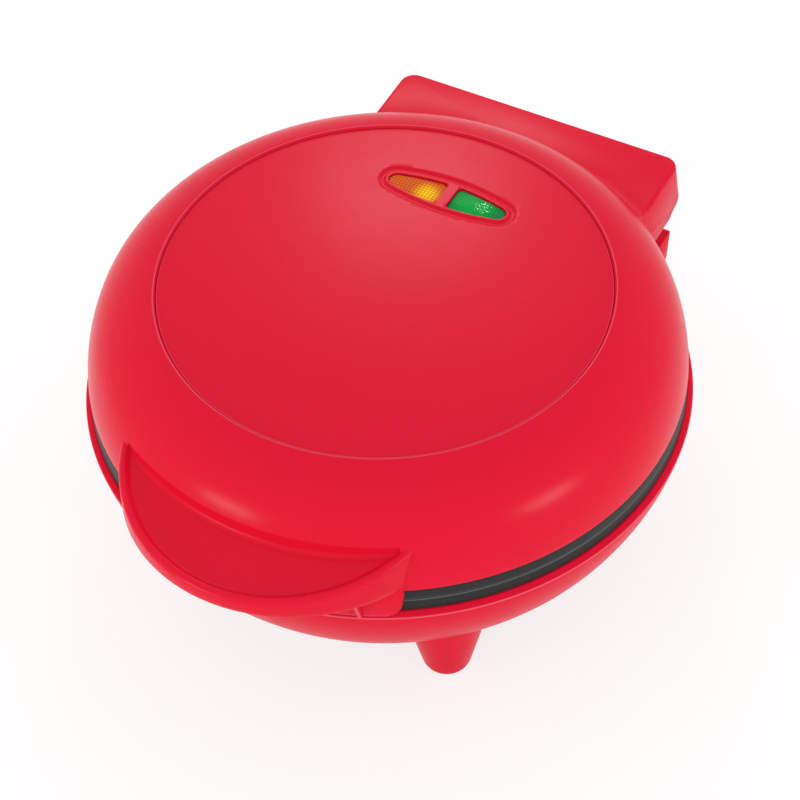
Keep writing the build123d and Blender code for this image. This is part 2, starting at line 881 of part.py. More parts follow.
def dome_radius(height):
    """Radius of the lid's outside at a height on the side arc."""
    return side_centre[0] + sqrt(side_curve**2 - (height - lid_edge) ** 2)


def root_blend(floor, radius):
    """Hollow-cornered ring that runs from the dome's side out onto a floor."""
    crease = floor + radius
    centre = (dome_radius(crease) + radius, crease)
    with BuildPart() as ring:
        with BuildSketch(section):
            with BuildLine():
                CenterArc(centre, radius, 180, 90)
                Polyline(
                    (centre[0], floor),
                    (centre[0], floor - wall / 2),
                    (centre[0] - 2 * radius, floor - wall / 2),
                    (centre[0] - 2 * radius, crease),
                    (centre[0] - radius, crease),
                )
            make_face()
        revolve(axis=spindle)
    return ring.part


# Blends at the roots of the handle and of the hinge block
handle_root_floor = lid_edge + handle_height - handle_dish_depth
handle_root_floor -= (lid_edge_radius - handle_centre) * tan(radians(handle_slope))
with BuildPart() as handle_root:
    add(root_blend(handle_root_floor, handle_root_fillet))
    add(
        handle_cylinder(handle_radius - handle_rim, handle_dish_depth + wall / 2, Keep.TOP),
        mode=Mode.INTERSECT,
    )
with BuildPart() as block_root:
    add(root_blend(block_top, block_blend))
    with BuildSketch(level(block_top - wall)):
        Rectangle(
            2 * (block_half_width - block_top_rounding),
            rear_reach,
            align=(Align.CENTER, Align.MIN),
        )
    extrude(amount=4 * block_blend, mode=Mode.INTERSECT)

# Lid housing: domed shell with a recess for the disc, the handle and the hinge block
ring_wall = opening_radius + wall
cavity_angle = degrees(acos((ring_wall - shoulder_centre[0]) / (shoulder_curve - wall)))
with BuildPart() as lid_housing:
    with BuildSketch(section):
        with BuildLine():
            Line((0, lid_edge), (lid_edge_radius, lid_edge))
            CenterArc(side_centre, side_curve, 0, side_angle)
            CenterArc(shoulder_centre, shoulder_curve, side_angle, shoulder_angle - side_angle)
            Polyline(
                shoulder_end,
                (opening_radius, opening_edge),
                (opening_radius, recess_floor),
                (0, recess_floor),
                (0, lid_edge),
            )
        make_face()
    revolve(axis=spindle)
    add(handle.part)
    add(handle_root.part)
    add(hinge_block.part)
    add(block_root.part)
    with BuildSketch(section):
        with BuildLine():
            Line((0, lid_edge), (lid_edge_radius - wall, lid_edge))
            CenterArc(side_centre, side_curve - wall, 0, side_angle)
            shoulder = CenterArc(
                shoulder_centre,
                shoulder_curve - wall,
                side_angle,
                cavity_angle - side_angle,
            )
            Polyline(shoulder @ 1, (ring_wall, recess_ceiling), (0, recess_ceiling), (0, lid_edge))
        make_face()
    revolve(axis=spindle, mode=Mode.SUBTRACT)
    add(front_skirt.part)
    for x in rib_positions:
        root_y = sqrt((skirt_outer - skirt_thickness / 2) ** 2 - x**2)
        for side in (-1, 1):
            with BuildSketch(across(side * x)):
                with BuildLine():
                    Polyline(
                        (body_y - root_y, rib_top),
                        (body_y - root_y - skirt_thickness / 2 - rib_reach, rib_top),
                        (body_y - root_y - skirt_thickness / 2 - rib_toe, rib_bottom),
                        (body_y - root_y, rib_bottom),
                        close=True,
                    )
                make_face()
            extrude(amount=rib_thickness / 2, both=True)
    with Locations(level(recess_ceiling)):
        with PolarLocations(mount_circle, 4):
            Cylinder(
                post_radius,
                recess_ceiling - upper_shield_face - shield_thickness,
                align=(Align.CENTER, Align.CENTER, Align.MAX),
            )
    with Locations(level(upper_screw_seat)):
        with PolarLocations(mount_circle, 4):
            Cylinder(
                screw_head_radius + drilled_clearance,
                recess_depth,
                align=(Align.CENTER, Align.CENTER, Align.MIN),
                mode=Mode.SUBTRACT,
            )
            Cylinder(
                screw_radius + drilled_clearance,
                2 * (upper_screw_seat - upper_shield_face),
                mode=Mode.SUBTRACT,
            )
    with Locations(level(recess_floor)):
        with PolarLocations(peg_circle, 4, start_angle=45):
            Cylinder(peg_radius + drilled_clearance, 4 * wall, mode=Mode.SUBTRACT)
    with BuildSketch(level(recess_ceiling)):
        with Locations((0, window_offset)):
            SlotOverall(lamp_opening_length, lamp_opening_width)
    extrude(amount=2 * wall, mode=Mode.SUBTRACT)
    with Locations(Plane(origin=lead_hole, z_dir=(0, 1, 0))):
        Cylinder(lead_hole_radius, 8 * wall, mode=Mode.SUBTRACT)
lid_housing.part.label = "lid_housing"

# Snap-in disc: crowned cover with a skirt, four pegs and the lamp window's groove
crown_radius = (disc_radius**2 + disc_crown**2) / (2 * disc_crown)
disc_apex = disc_edge + disc_crown
window_tilt = asin(window_offset / crown_radius)
window_height = disc_apex - crown_radius * (1 - cos(window_tilt))
window_normal = (0, sin(window_tilt), cos(window_tilt))


def window_plane(depth):
    """Plane of the lamp window, lowered into the disc by the depth."""
    surface = Plane(
        origin=(0, body_y + window_offset, window_height),
        x_dir=(1, 0, 0),
        z_dir=window_normal,
    )
    return surface.offset(-depth)


def crown_height(radius, depth=0):
    """Height of the disc's crown at a radius, or of the surface a depth below it."""
    return disc_apex - crown_radius + sqrt((crown_radius - depth) ** 2 - radius**2)


peg_underside = crown_height(peg_circle, disc_thickness)
disc_inner_radius = disc_radius - disc_skirt_thickness
with BuildPart() as lid_disc:
    with BuildSketch(section):
        with BuildLine():
            ThreePointArc(
                (0, disc_apex),
                (disc_radius / 2, crown_height(disc_radius / 2)),
                (disc_radius, disc_edge),
            )
            Polyline(
                (disc_radius, disc_edge),
                (disc_radius, recess_floor),
                (disc_inner_radius, recess_floor),
                (disc_inner_radius, crown_height(disc_inner_radius, disc_thickness)),
            )
            ThreePointArc(
                (disc_inner_radius, crown_height(disc_inner_radius, disc_thickness)),
                (disc_inner_radius / 2, crown_height(disc_inner_radius / 2, disc_thickness)),
                (0, disc_apex - disc_thickness),
            )
            Line((0, disc_apex - disc_thickness), (0, disc_apex))
        make_face()
    revolve(axis=spindle)
    disc_rim = lid_disc.edges().filter_by(lambda edge: edge.is_closed).sort_by(Axis.Z)[-1]
    fillet(disc_rim, disc_edge_rounding)
    with Locations(level(peg_underside + disc_thickness / 2)):
        with PolarLocations(peg_circle, 4, start_angle=45):
            Cylinder(
                peg_radius,
                peg_underside + disc_thickness / 2 - recess_floor + peg_length,
                align=(Align.CENTER, Align.CENTER, Align.MAX),
            )
    with BuildSketch(window_plane(window_groove_depth)):
        add(window_outline())
        add(window_outline(window_groove_width), mode=Mode.SUBTRACT)
    extrude(amount=2 * window_groove_depth, mode=Mode.SUBTRACT)
    with BuildSketch(window_plane(2 * disc_thickness)):
        add(lens_outline())
        add(mirror(lens_outline(), about=Plane.YZ))
    extrude(amount=3 * disc_thickness, mode=Mode.SUBTRACT)
lid_disc.part.label = "lid_disc"

# Lenses pushed up from below, each with a flange under the disc
flange_depth = disc_thickness + lens_flange_gap


def lens(side):
    """One half of the window's oval, on the given side of the bridge."""
    body = lens_outline(lens_clearance)
    flange = lens_outline(-lens_flange)
    if side < 0:
        body = mirror(body, about=Plane.YZ)
        flange = mirror(flange, about=Plane.YZ)
    with BuildPart() as cover:
        with BuildSketch(window_plane(lens_height)):
            add(body)
        extrude(amount=lens_height - lens_sink)
        with BuildSketch(window_plane(flange_depth + lens_flange_height)):
            add(flange)
        extrude(amount=lens_flange_height)
    return cover.part


amber_lens = lens(-1)
amber_lens.label = "amber_lens"
green_lens = lens(1)
green_lens.label = "green_lens"

# Tray under the lenses, which rests on the recess floor by its two ears
tray_top = flange_depth + lens_flange_height + running_clearance
tray_floor = tray_top + carrier_depth
ear_drop = (window_height - recess_floor) / cos(window_tilt) - carrier_ear / 2 * tan(window_tilt)
ear_drop = ear_drop - running_clearance
carrier_half_length = window_length / 2 - carrier_inset
lamp_x = (window_length / 2 + window_bridge / 2) / 2 - carrier_wall
with BuildPart() as lamp_carrier:
    with BuildSketch(window_plane(tray_floor)):
        add(window_outline(carrier_inset))
    extrude(amount=carrier_depth)
    with BuildSketch(window_plane(ear_drop)):
        SlotOverall(lamp_opening_length + 2 * carrier_ear, carrier_ear)
        add(window_outline(carrier_inset + carrier_wall), mode=Mode.SUBTRACT)
    extrude(amount=lens_flange_height)
    with BuildSketch(window_plane(tray_floor - carrier_wall)):
        add(window_outline(carrier_inset + carrier_wall))
        Rectangle(carrier_wall, window_width, mode=Mode.SUBTRACT)
    extrude(amount=carrier_depth, mode=Mode.SUBTRACT)
    with BuildSketch(window_plane(tray_floor)):
        with Locations((-lamp_x, 0), (lamp_x, 0)):
            Circle(lamp_radius + drilled_clearance)
    extrude(amount=2 * carrier_wall, mode=Mode.SUBTRACT)
lamp_carrier.part.label = "lamp_carrier"


def lamp(side):
    """Indicator lamp: round-nosed bulb with a collar, seated on the tray's floor."""
    seat = window_plane(tray_floor - carrier_wall).origin
    with BuildPart() as bulb:
        with Locations(Plane(origin=(side * lamp_x, seat.Y, seat.Z), x_dir=(1, 0, 0), z_dir=window_normal)):
            Cylinder(lamp_radius, carrier_wall + 1, align=(Align.CENTER, Align.CENTER, Align.MAX))
            Cylinder(lamp_radius + 2 * drilled_clearance, 1, align=(Align.CENTER, Align.CENTER, Align.MIN))
            Cylinder(lamp_radius, lamp_length, align=(Align.CENTER, Align.CENTER, Align.MIN))
    fillet(bulb.edges().filter_by(GeomType.CIRCLE).group_by(Axis.Z)[-1], lamp_radius * 0.8)
    return bulb.part


power_lamp = lamp(-1)
power_lamp.label = "power_lamp"
ready_lamp = lamp(1)
ready_lamp.label = "ready_lamp"

# Thermal fuse in a clip on the upper plate's back
with BuildPart() as thermal_fuse:
    with Locations(Plane(origin=(0, body_y, upper_casting + fuse_radius), z_dir=(1, 0, 0))):
        Cylinder(fuse_radius, fuse_length)
thermal_fuse.part.label = "thermal_fuse"
clip_inner = fuse_radius + running_clearance
clip_outer = clip_inner + clip_thickness
with BuildPart() as fuse_clip:
    with BuildSketch(Plane.YZ):
        with Locations((body_y, upper_casting + fuse_radius)):
            Circle(clip_outer)
            Rectangle(2 * clip_outer, fuse_radius, align=(Align.CENTER, Align.MAX))
        with Locations((body_y, upper_casting)):
            Rectangle(
                2 * (clip_outer + clip_foot),
                clip_thickness,
                align=(Align.CENTER, Align.MIN),
            )
        with Locations((body_y, upper_casting + fuse_radius)):
            Circle(clip_inner, mode=Mode.SUBTRACT)
            Rectangle(2 * clip_inner, 2 * fuse_radius, align=(Align.CENTER, Align.MAX), mode=Mode.SUBTRACT)
        with Locations((body_y, upper_casting)):
            Rectangle(8 * fuse_radius, 2 * fuse_radius, align=(Align.CENTER, Align.MAX), mode=Mode.SUBTRACT)
    extrude(amount=clip_width / 2, both=True)
fuse_clip.part.label = "fuse_clip"

# Terminal block on the bowl's floor, between the shield and the back wall
block_x = post_radius + block_spacing + block_width / 2
block_y = mount_circle + block_length / 2
with BuildPart() as terminal_block:
    with Locations(level(floor_height)):
        with Locations((block_x, block_y)):
            Box(block_width, block_length, block_thickness, align=(Align.CENTER, Align.CENTER, Align.MIN))
    fillet(terminal_block.edges().filter_by(Axis.Z), 1)
terminal_block.part.label = "terminal_block"

# Leads: from the cord inlet to the block, from the block to the element, to the hinge line
terminal_y = body_y + element_tail_end + terminal_length
block_face_y = body_y + block_y + block_length / 2
block_port = floor_height + block_thickness / 2
inlet_y = body_y + gland_face - gland_length
inlet_height = base_bottom + gland_height
lead_split = ear_inner - arm_clearance - arm_width / 2
ear_middle = (ear_inner + ear_outer) / 2
with BuildPart() as base_wiring:
    add(
        tube(
            [
                (lead_offset, inlet_y - lead_clearance, inlet_height),
                (lead_offset, inlet_y - lead_clearance - lead_bend, inlet_height),
                (block_x - block_port_spacing / 2, block_face_y + lead_bend, block_port),
                (block_x - block_port_spacing / 2, block_face_y, block_port),
            ],
            lead_bend / 2,
            lead_radius,
        )
    )
    add(
        tube(
            [
                (element_tail_half, terminal_y, lower_element_height),
                (element_tail_half, terminal_y + lead_bend, lower_element_height),
                (block_x + block_port_spacing / 2, block_face_y + lead_bend, block_port),
                (block_x + block_port_spacing / 2, block_face_y, block_port),
            ],
            lead_bend / 2,
            lead_radius,
        )
    )
    add(
        tube(
            [
                (-element_tail_half, terminal_y, lower_element_height),
                (-element_tail_half, terminal_y + lead_bend, lower_element_height),
                (-ear_inner, terminal_y - 2 * lead_bend, hinge_height - lead_bend),
                (-ear_middle, terminal_y, hinge_height),
                (-ear_middle, hinge_line_y, hinge_height),
                (-lead_split, hinge_line_y, hinge_height),
            ],
            lead_bend / 2,
            lead_radius,
        )
    )
base_wiring.part.label = "base_wiring"

gap_y = body_y + sqrt(((casting_radius + lid_edge_radius - wall) / 2) ** 2 - lead_hole_x**2)
with BuildPart() as lid_wiring:
    add(
        tube(
            [
                (-lead_split, hinge_line_y, hinge_height),
                (-lead_hole_x, hinge_line_y, hinge_height),
                (-lead_hole_x, hinge_line_y, lead_hole_height),
                (-lead_hole_x, gap_y, lead_hole_height),
                (-element_tail_half, terminal_y + lead_bend, upper_element_height),
                (-element_tail_half, terminal_y, upper_element_height),
            ],
            lead_bend / 2,
            lead_radius,
        )
    )
lid_wiring.part.label = "lid_wiring"

pieces = [
    base_housing.part,
    cord_gland.part,
    lower_cooking_plate.part,
    lower_heating_element,
    lower_element_clamp,
    lower_clamp_screws,
    lower_heat_shield,
    lower_plate_screws,
    thermostat.part,
    thermostat_bracket.part,
    terminal_block.part,
    base_wiring.part,
    hinge_pins.part,
    lid_housing.part,
    lid_disc.part,
    lamp_carrier.part,
    amber_lens,
    green_lens,
    power_lamp,
    ready_lamp,
    upper_cooking_plate.part,
    upper_heating_element,
    upper_element_clamp,
    upper_clamp_screws,
    upper_heat_shield,
    upper_plate_screws,
    thermal_fuse.part,
    fuse_clip.part,
    lid_wiring.part,
]
for piece in pieces:
    export_step(piece, "parts/" + piece.label + ".step")
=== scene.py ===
import math
import bmesh
import bpy
from mathutils import Matrix, Vector


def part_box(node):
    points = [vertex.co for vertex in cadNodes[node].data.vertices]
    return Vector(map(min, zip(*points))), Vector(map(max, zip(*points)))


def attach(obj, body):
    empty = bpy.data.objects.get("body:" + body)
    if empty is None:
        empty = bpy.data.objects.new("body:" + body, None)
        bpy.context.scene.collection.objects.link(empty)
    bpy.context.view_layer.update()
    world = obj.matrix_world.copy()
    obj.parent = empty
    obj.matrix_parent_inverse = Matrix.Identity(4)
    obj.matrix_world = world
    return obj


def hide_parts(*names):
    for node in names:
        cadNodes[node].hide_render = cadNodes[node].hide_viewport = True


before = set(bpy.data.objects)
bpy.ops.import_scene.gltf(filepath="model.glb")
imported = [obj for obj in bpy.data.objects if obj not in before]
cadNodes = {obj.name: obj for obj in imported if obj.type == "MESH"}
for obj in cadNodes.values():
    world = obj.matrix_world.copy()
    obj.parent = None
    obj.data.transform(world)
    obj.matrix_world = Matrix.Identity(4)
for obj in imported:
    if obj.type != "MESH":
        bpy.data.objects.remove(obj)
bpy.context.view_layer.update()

mm = 0.001
discLow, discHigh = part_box("lid_disc")
axisY = round((discLow.y + discHigh.y) / 2 / mm, 2)  # the round body's axis, behind the origin


def at(x, y, z):
    return Vector((x, y + axisY, z)) * mm


def deselectAll():
    if bpy.context.mode != "OBJECT":
        bpy.ops.object.mode_set(mode="OBJECT")
    bpy.ops.object.select_all(action="DESELECT")


def makeActive(piece):
    deselectAll()
    piece.select_set(True)
    bpy.context.view_layer.objects.active = piece


def arcPoints(centre, radius, startDeg, endDeg, count):
    points = []
    for i in range(count + 1):
        a = math.radians(startDeg + (endDeg - startDeg) * i / count)
        points.append((centre[0] + radius * math.cos(a), centre[1] + radius * math.sin(a)))
    return points


def roundedPath(corners, segments=5, closed=False):
    # corners are (x, y) or (x, y, radius); a radius rounds that corner
    path = []
    last = len(corners) - 1
    for i, corner in enumerate(corners):
        radius = corner[2] if len(corner) > 2 else 0
        here = Vector(corner[:2])
        if radius == 0 or (not closed and i in (0, last)):
            path.append((here.x, here.y))
            continue
        before = (Vector(corners[i - 1][:2]) - here).normalized()
        after = (Vector(corners[(i + 1) % (last + 1)][:2]) - here).normalized()
        half = before.angle(after) / 2
        middle = here + (before + after).normalized() * radius / math.sin(half)
        start = here + before * radius / math.tan(half) - middle
        turn = (here + after * radius / math.tan(half) - middle).angle_signed(start)
        for k in range(segments + 1):
            a = math.atan2(start.y, start.x) + turn * k / segments
            path.append((middle.x + radius * math.cos(a), middle.y + radius * math.sin(a)))
    return path


def closeUp(piece):
    bpy.ops.mesh.select_all(action="SELECT")
    bpy.ops.mesh.remove_doubles(threshold=0.000004)
    bpy.ops.mesh.normals_make_consistent(inside=False)
    bpy.ops.object.mode_set(mode="OBJECT")
    bpy.ops.object.transform_apply(location=True, rotation=True, scale=True)


def spinProfile(name, profile, middle=(0, 0, 0), axis="Z", steps=192):
    # profile is (radius, distance along the axis), from one end to the other
    def place(r, h):
        x, y, z = {"Z": (r, 0, h), "Y": (r, h, 0), "X": (h, r, 0)}[axis]
        return at(middle[0] + x, middle[1] + y, middle[2] + z)

    deselectAll()
    bpy.ops.mesh.primitive_plane_add(size=0.001, location=place(*profile[0]))
    piece = bpy.context.active_object
    piece.name = name
    bpy.ops.object.mode_set(mode="EDIT")
    bpy.ops.mesh.select_all(action="SELECT")
    bpy.ops.mesh.merge(type="CENTER")
    for here, there in zip(profile, profile[1:]):
        step = place(*there) - place(*here)
        bpy.ops.mesh.extrude_vertices_move(TRANSFORM_OT_translate={"value": step})
    bpy.ops.mesh.select_all(action="SELECT")
    turnAxis = {"X": (1, 0, 0), "Y": (0, 1, 0), "Z": (0, 0, 1)}[axis]
    bpy.ops.mesh.spin(steps=steps, angle=2 * math.pi, center=at(*middle), axis=turnAxis)
    closeUp(piece)
    return piece


def ringStack(name, loops, ring=False):
    # loops of equal length, extruded one from the next; a ring closes on itself and has no caps
    count = len(loops[0])
    deselectAll()
    fill = "NOTHING" if ring else "NGON"
    bpy.ops.mesh.primitive_circle_add(vertices=count, radius=mm, fill_type=fill, location=(0, 0, 0))
    piece = bpy.context.active_object
    piece.name = name
    bpy.ops.object.mode_set(mode="EDIT")
    bpy.ops.mesh.select_all(action="SELECT")
    rows = list(loops) + ([loops[0]] if ring else [])
    for i, loop in enumerate(rows):
        if i:
            bpy.ops.mesh.extrude_region_move()
        mesh = bmesh.from_edit_mesh(piece.data)
        mesh.verts.ensure_lookup_table()
        for vertex, point in zip(mesh.verts[-count:], loop):
            vertex.co = point
    bmesh.update_edit_mesh(piece.data)
    closeUp(piece)
    return piece


def prism(name, outline, axis, low, high):
    # a flat outline pulled straight along an axis
    def place(p, q, h):
        return {"X": at(h, p, q), "Y": at(p, h, q), "Z": at(p, q, h)}[axis]

    return ringStack(name, [[place(p, q, h) for p, q in outline] for h in (low, high)])


def carve(piece, tool, operation="DIFFERENCE"):
    makeActive(piece)
    change = piece.modifiers.new("carve", "BOOLEAN")
    change.operation = operation
    change.object = tool
    change.solver = "EXACT"
    bpy.ops.object.modifier_apply(modifier=change.name)
    bpy.data.objects.remove(tool)


def softenEdges(piece, width, segments=3, angle=50):
    makeActive(piece)
    change = piece.modifiers.new("soften", "BEVEL")
    change.width = width * mm
    change.segments = segments
    change.limit_method = "ANGLE"
    change.angle_limit = math.radians(angle)
    change.use_clamp_overlap = False
    change.miter_outer = "MITER_ARC"
    bpy.ops.object.modifier_apply(modifier=change.name)


def joinPieces(pieces):
    deselectAll()
    for piece in pieces:
        piece.select_set(True)
    bpy.context.view_layer.objects.active = pieces[0]
    bpy.ops.object.join()
    return pieces[0]


def copyPiece(piece, name, scale):
    twin = piece.copy()
    twin.data = piece.data.copy()
    twin.name = name
    bpy.context.scene.collection.objects.link(twin)
    makeActive(twin)
    bpy.ops.object.mode_set(mode="EDIT")
    bpy.ops.mesh.select_all(action="SELECT")
    bpy.ops.transform.resize(value=scale, center_override=at(0, 0, 0))
    bpy.ops.mesh.normals_make_consistent(inside=False)
    bpy.ops.object.mode_set(mode="OBJECT")
    return twin


def dress(piece, material, body, nodes, smooth):
    makeActive(piece)
    bpy.ops.object.shade_smooth_by_angle(angle=math.radians(smooth))
    piece.data.materials.clear()
    piece.data.materials.append(material)
    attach(piece, body)
    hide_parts(*nodes)
    print("made", piece.name, len(piece.data.polygons))


def dressLid(piece, nodes=("lid_housing",), smooth=30):
    dress(piece, redShell, "lid", nodes, smooth)


def dressBase(piece):
    dress(piece, redBase, "base", ["base_housing"], 30)


print("camera")
photoView = {"azimuth": 29.5, "elevation": 47.95, "roll": -2.48, "lens": 135}
photoView["place"] = (325.07, -567.95, 779.12)


def aimCamera(view):
    a, e, r = (math.radians(view[k]) for k in ("azimuth", "elevation", "roll"))
    back = Vector((math.sin(a) * math.cos(e), -math.cos(a) * math.cos(e), math.sin(e)))
    right = Vector((math.cos(a), math.sin(a), 0))
    up = back.cross(right)
    rolled = (math.cos(r) * right + math.sin(r) * up, math.cos(r) * up - math.sin(r) * right)
    turn = Matrix((*rolled, back)).transposed()
    lens = bpy.data.cameras.new("photoCamera")
    lens.lens = view["lens"]
    lens.clip_end = 20
    camera = bpy.data.objects.new("photoCamera", lens)
    bpy.context.scene.collection.objects.link(camera)
    camera.matrix_world = Matrix.Translation(at(*view["place"])) @ turn.to_4x4()
    bpy.context.scene.camera = camera


aimCamera(photoView)

print("materials")


def newGroup(name, inputs, outputs):
    # each group reads a place; its other inputs are numbers, or vectors where the value is one
    group = bpy.data.node_groups.new(name, "ShaderNodeTree")
    group.interface.new_socket("Vector", in_out="INPUT", socket_type="NodeSocketVector")
    for label, value in inputs.items():
        kind = "NodeSocketVector" if isinstance(value, tuple) else "NodeSocketFloat"
        socket = group.interface.new_socket(label, in_out="INPUT", socket_type=kind)
        socket.default_value = value
    for label in outputs:
        group.interface.new_socket(label, in_out="OUTPUT", socket_type="NodeSocketFloat")
    start, end = (group.nodes.new(kind) for kind in ("NodeGroupInput", "NodeGroupOutput"))
    return group, start.outputs, end.inputs


def addNode(tree, kind, inputs=None, **settings):
    # inputs maps a socket name or number to a value or to another node's output
    node = tree.nodes.new(kind)
    for key, value in settings.items():
        setattr(node, key, value)
    for key, value in (inputs or {}).items():
        if isinstance(value, bpy.types.NodeSocket):
            tree.links.new(value, node.inputs[key])
        else:
            node.inputs[key].default_value = value
    return node


def mathNode(tree, operation, *values, clamp=False):
    inputs = dict(enumerate(values))
    return addNode(tree, "ShaderNodeMath", inputs, operation=operation, use_clamp=clamp).outputs[0]


def mapRange(tree, value, fromMin, fromMax, toMin=0.0, toMax=1.0, smooth=False):
    node = addNode(tree, "ShaderNodeMapRange", {0: value, 1: fromMin, 2: fromMax, 3: toMin, 4: toMax})
    if smooth:
        node.interpolation_type = "SMOOTHSTEP"
    return node.outputs[0]


def noise(tree, vector, scale, detail=2.0, rough=0.5):
    inputs = {"Vector": vector, "Scale": scale, "Detail": detail, "Roughness": rough}
    return addNode(tree, "ShaderNodeTexNoise", inputs).outputs["Fac"]


def buildMouldGrain():
    # satin moulding: fine grain, slow waviness and faint handling marks
    inputs = {"Grain Size": 2400.0, "Wave Size": 22.0}
    group, start, end = newGroup("mouldGrain", inputs, ("Height", "Marks", "Shade"))
    place = start["Vector"]
    fine = noise(group, place, start["Grain Size"], 3.0, 0.6)
    wave = noise(group, place, start["Wave Size"], 1.0)
    fine, wave = mathNode(group, "MULTIPLY", fine, 0.75), mathNode(group, "MULTIPLY", wave, 0.25)
    height = mathNode(group, "ADD", fine, wave)
    smear = noise(group, place, 85.0, 4.0, 0.62)
    group.links.new(height, end["Height"])
    group.links.new(mapRange(group, smear, 0.42, 0.72, smooth=True), end["Marks"])
    group.links.new(noise(group, place, 9.0, 2.0), end["Shade"])
    return group


def buildSpeckle():
    # sprayed coating: pale flecks over a slightly pebbled film
    group, start, end = newGroup("sprayedFlecks", {"Fleck Size": 900.0}, ("Flecks", "Height", "Wear"))
    place = start["Vector"]
    inputs = {"Vector": place, "Scale": start["Fleck Size"]}
    cells = addNode(group, "ShaderNodeTexVoronoi", inputs)
    dots = mapRange(group, cells.outputs["Distance"], 0.10, 0.22, 1.0, 0.0, smooth=True)
    rare = mapRange(group, noise(group, place, 700.0, 1.0), 0.55, 0.62, smooth=True)
    group.links.new(mathNode(group, "MULTIPLY", dots, rare), end["Flecks"])
    group.links.new(noise(group, place, 1500.0, 3.0, 0.6), end["Height"])
    group.links.new(noise(group, place, 38.0, 4.0, 0.6), end["Wear"])
    return group


def buildRolledSheet():
    # rolled or turned metal: streaks one way, with blotches of wear
    streak = {"Streak": (40.0, 1800.0, 1800.0)}
    group, start, end = newGroup("rolledSheet", streak, ("Streaks", "Blotches"))
    inputs = {0: start["Vector"], 1: start["Streak"]}
    stretched = addNode(group, "ShaderNodeVectorMath", inputs, operation="MULTIPLY").outputs[0]
    group.links.new(noise(group, stretched, 1.0, 2.0, 0.6), end["Streaks"])
    group.links.new(noise(group, start["Vector"], 70.0, 3.0, 0.6), end["Blotches"])
    return group


def buildPrismGrid():
    # square pyramids, as on a lens over a lamp, with a painted shade per facet, a painted glow round
    # the lamp behind it and painted glints near one spot
    inputs = {"Pitch": 0.0012, "Lamp": (0.0, 0.0, 0.0), "Reach": 0.008}
    inputs.update({"Grid": (0.0, 0.0, 0.0), "Grid Reach": 0.02})
    inputs.update({"Glint": (0.0, 0.0, 0.0), "Glint Reach": 0.003})
    group, start, end = newGroup("prismGrid", inputs, ("Height", "Facet Shade", "Glow", "Lines", "Glints"))
    place, pitch = start["Vector"], start["Pitch"]
    split = addNode(group, "ShaderNodeSeparateXYZ", {0: place}).outputs
    halfPitch = mathNode(group, "MULTIPLY", pitch, 0.5)

    def sawtooth(way):
        there = mathNode(group, "PINGPONG", split[way], halfPitch)
        return mathNode(group, "DIVIDE", there, halfPitch)

    across, along = sawtooth("X"), sawtooth("Y")

    def nearTo(centre, reach, full):
        inputs = {0: place, 1: start[centre]}
        away = addNode(group, "ShaderNodeVectorMath", inputs, operation="DISTANCE").outputs["Value"]
        share = mathNode(group, "DIVIDE", away, start[reach])
        return mapRange(group, share, full, 1.0, 1.0, 0.0, smooth=True)

    ridge = mathNode(group, "MAXIMUM", across, along)
    group.links.new(ridge, end["Height"])
    crests = mapRange(group, ridge, 0.74, 0.95, smooth=True)
    lines = mathNode(group, "MULTIPLY", crests, nearTo("Grid", "Grid Reach", 0.75))
    group.links.new(lines, end["Lines"])
    across, along = (mathNode(group, "SUBTRACT", way, 0.5) for way in (across, along))
    # painted facet shade: opposite facets of each pyramid lighter and darker, as if lit from one side
    facet = mathNode(group, "MULTIPLY", across, along)
    group.links.new(mapRange(group, facet, -0.25, 0.25), end["Facet Shade"])
    group.links.new(nearTo("Lamp", "Reach", 0.05), end["Glow"])
    # painted glints: small bright spots round the glint's place
    glints = mapRange(group, noise(group, place, 1900.0, 1.0), 0.625, 0.655, smooth=True)
    glints = mathNode(group, "MULTIPLY", glints, nearTo("Glint", "Glint Reach", 0.6))
    group.links.new(glints, end["Glints"])
    return group


def buildPaintedEdgeHighlight():
    # a painted highlight: a thin lighter line round the body, along an edge at this radius and height
    inputs = {"Radius": 0.1, "Level": 0.1, "Reach": 0.0004}
    group, start, end = newGroup("paintedEdgeHighlight", inputs, ["Mask"])
    split = addNode(group, "ShaderNodeSeparateXYZ", {0: start["Vector"]}).outputs
    back = mathNode(group, "SUBTRACT", split["Y"], axisY * mm)

    def longest(one, other):
        squares = [mathNode(group, "POWER", side, 2) for side in (one, other)]
        return mathNode(group, "SQRT", mathNode(group, "ADD", *squares))

    out = mathNode(group, "SUBTRACT", longest(split["X"], back), start["Radius"])
    up = mathNode(group, "SUBTRACT", split["Z"], start["Level"])
    away = longest(out, up)
    share = mathNode(group, "DIVIDE", away, start["Reach"])
    group.links.new(mapRange(group, share, 0.4, 1.0, 1.0, 0.0, smooth=True), end["Mask"])
    return group


groups = {
    "grain": buildMouldGrain(),
    "edge": buildPaintedEdgeHighlight(),
    "speckle": buildSpeckle(),
    "rolled": buildRolledSheet(),
    "prism": buildPrismGrid(),
}


def newMaterial(name, **fixed):
    material = bpy.data.materials.new(name)
    material.use_nodes = True
    tree = material.node_tree
    shader = tree.nodes["Principled BSDF"]
    for key, value in fixed.items():
        shader.inputs[key.replace("_", " ")].default_value = value
    place = addNode(tree, "ShaderNodeTexCoord").outputs["Object"]
    return material, tree, shader, place


def useGroup(tree, key, place, **values):
    node = addNode(tree, "ShaderNodeGroup", node_tree=groups[key])
    tree.links.new(place, node.inputs["Vector"])
    for label, value in values.items():
        node.inputs[label.replace("_", " ")].default_value = value
    return node


def blendColours(tree, factor, dark, light):
    node = addNode(tree, "ShaderNodeMix", data_type="RGBA")
    node.inputs[6].default_value = (*dark, 1)
    node.inputs[7].default_value = (*light, 1)
    tree.links.new(factor, node.inputs[0])
    return node.outputs[2]


def layOver(tree, mask, under, over):
    # a plain colour laid over another node's colour, by a mask
    node = addNode(tree, "ShaderNodeMix", data_type="RGBA")
    tree.links.new(mask, node.inputs[0])
    tree.links.new(under, node.inputs[6])
    node.inputs[7].default_value = (*over, 1)
    return node.outputs[2]
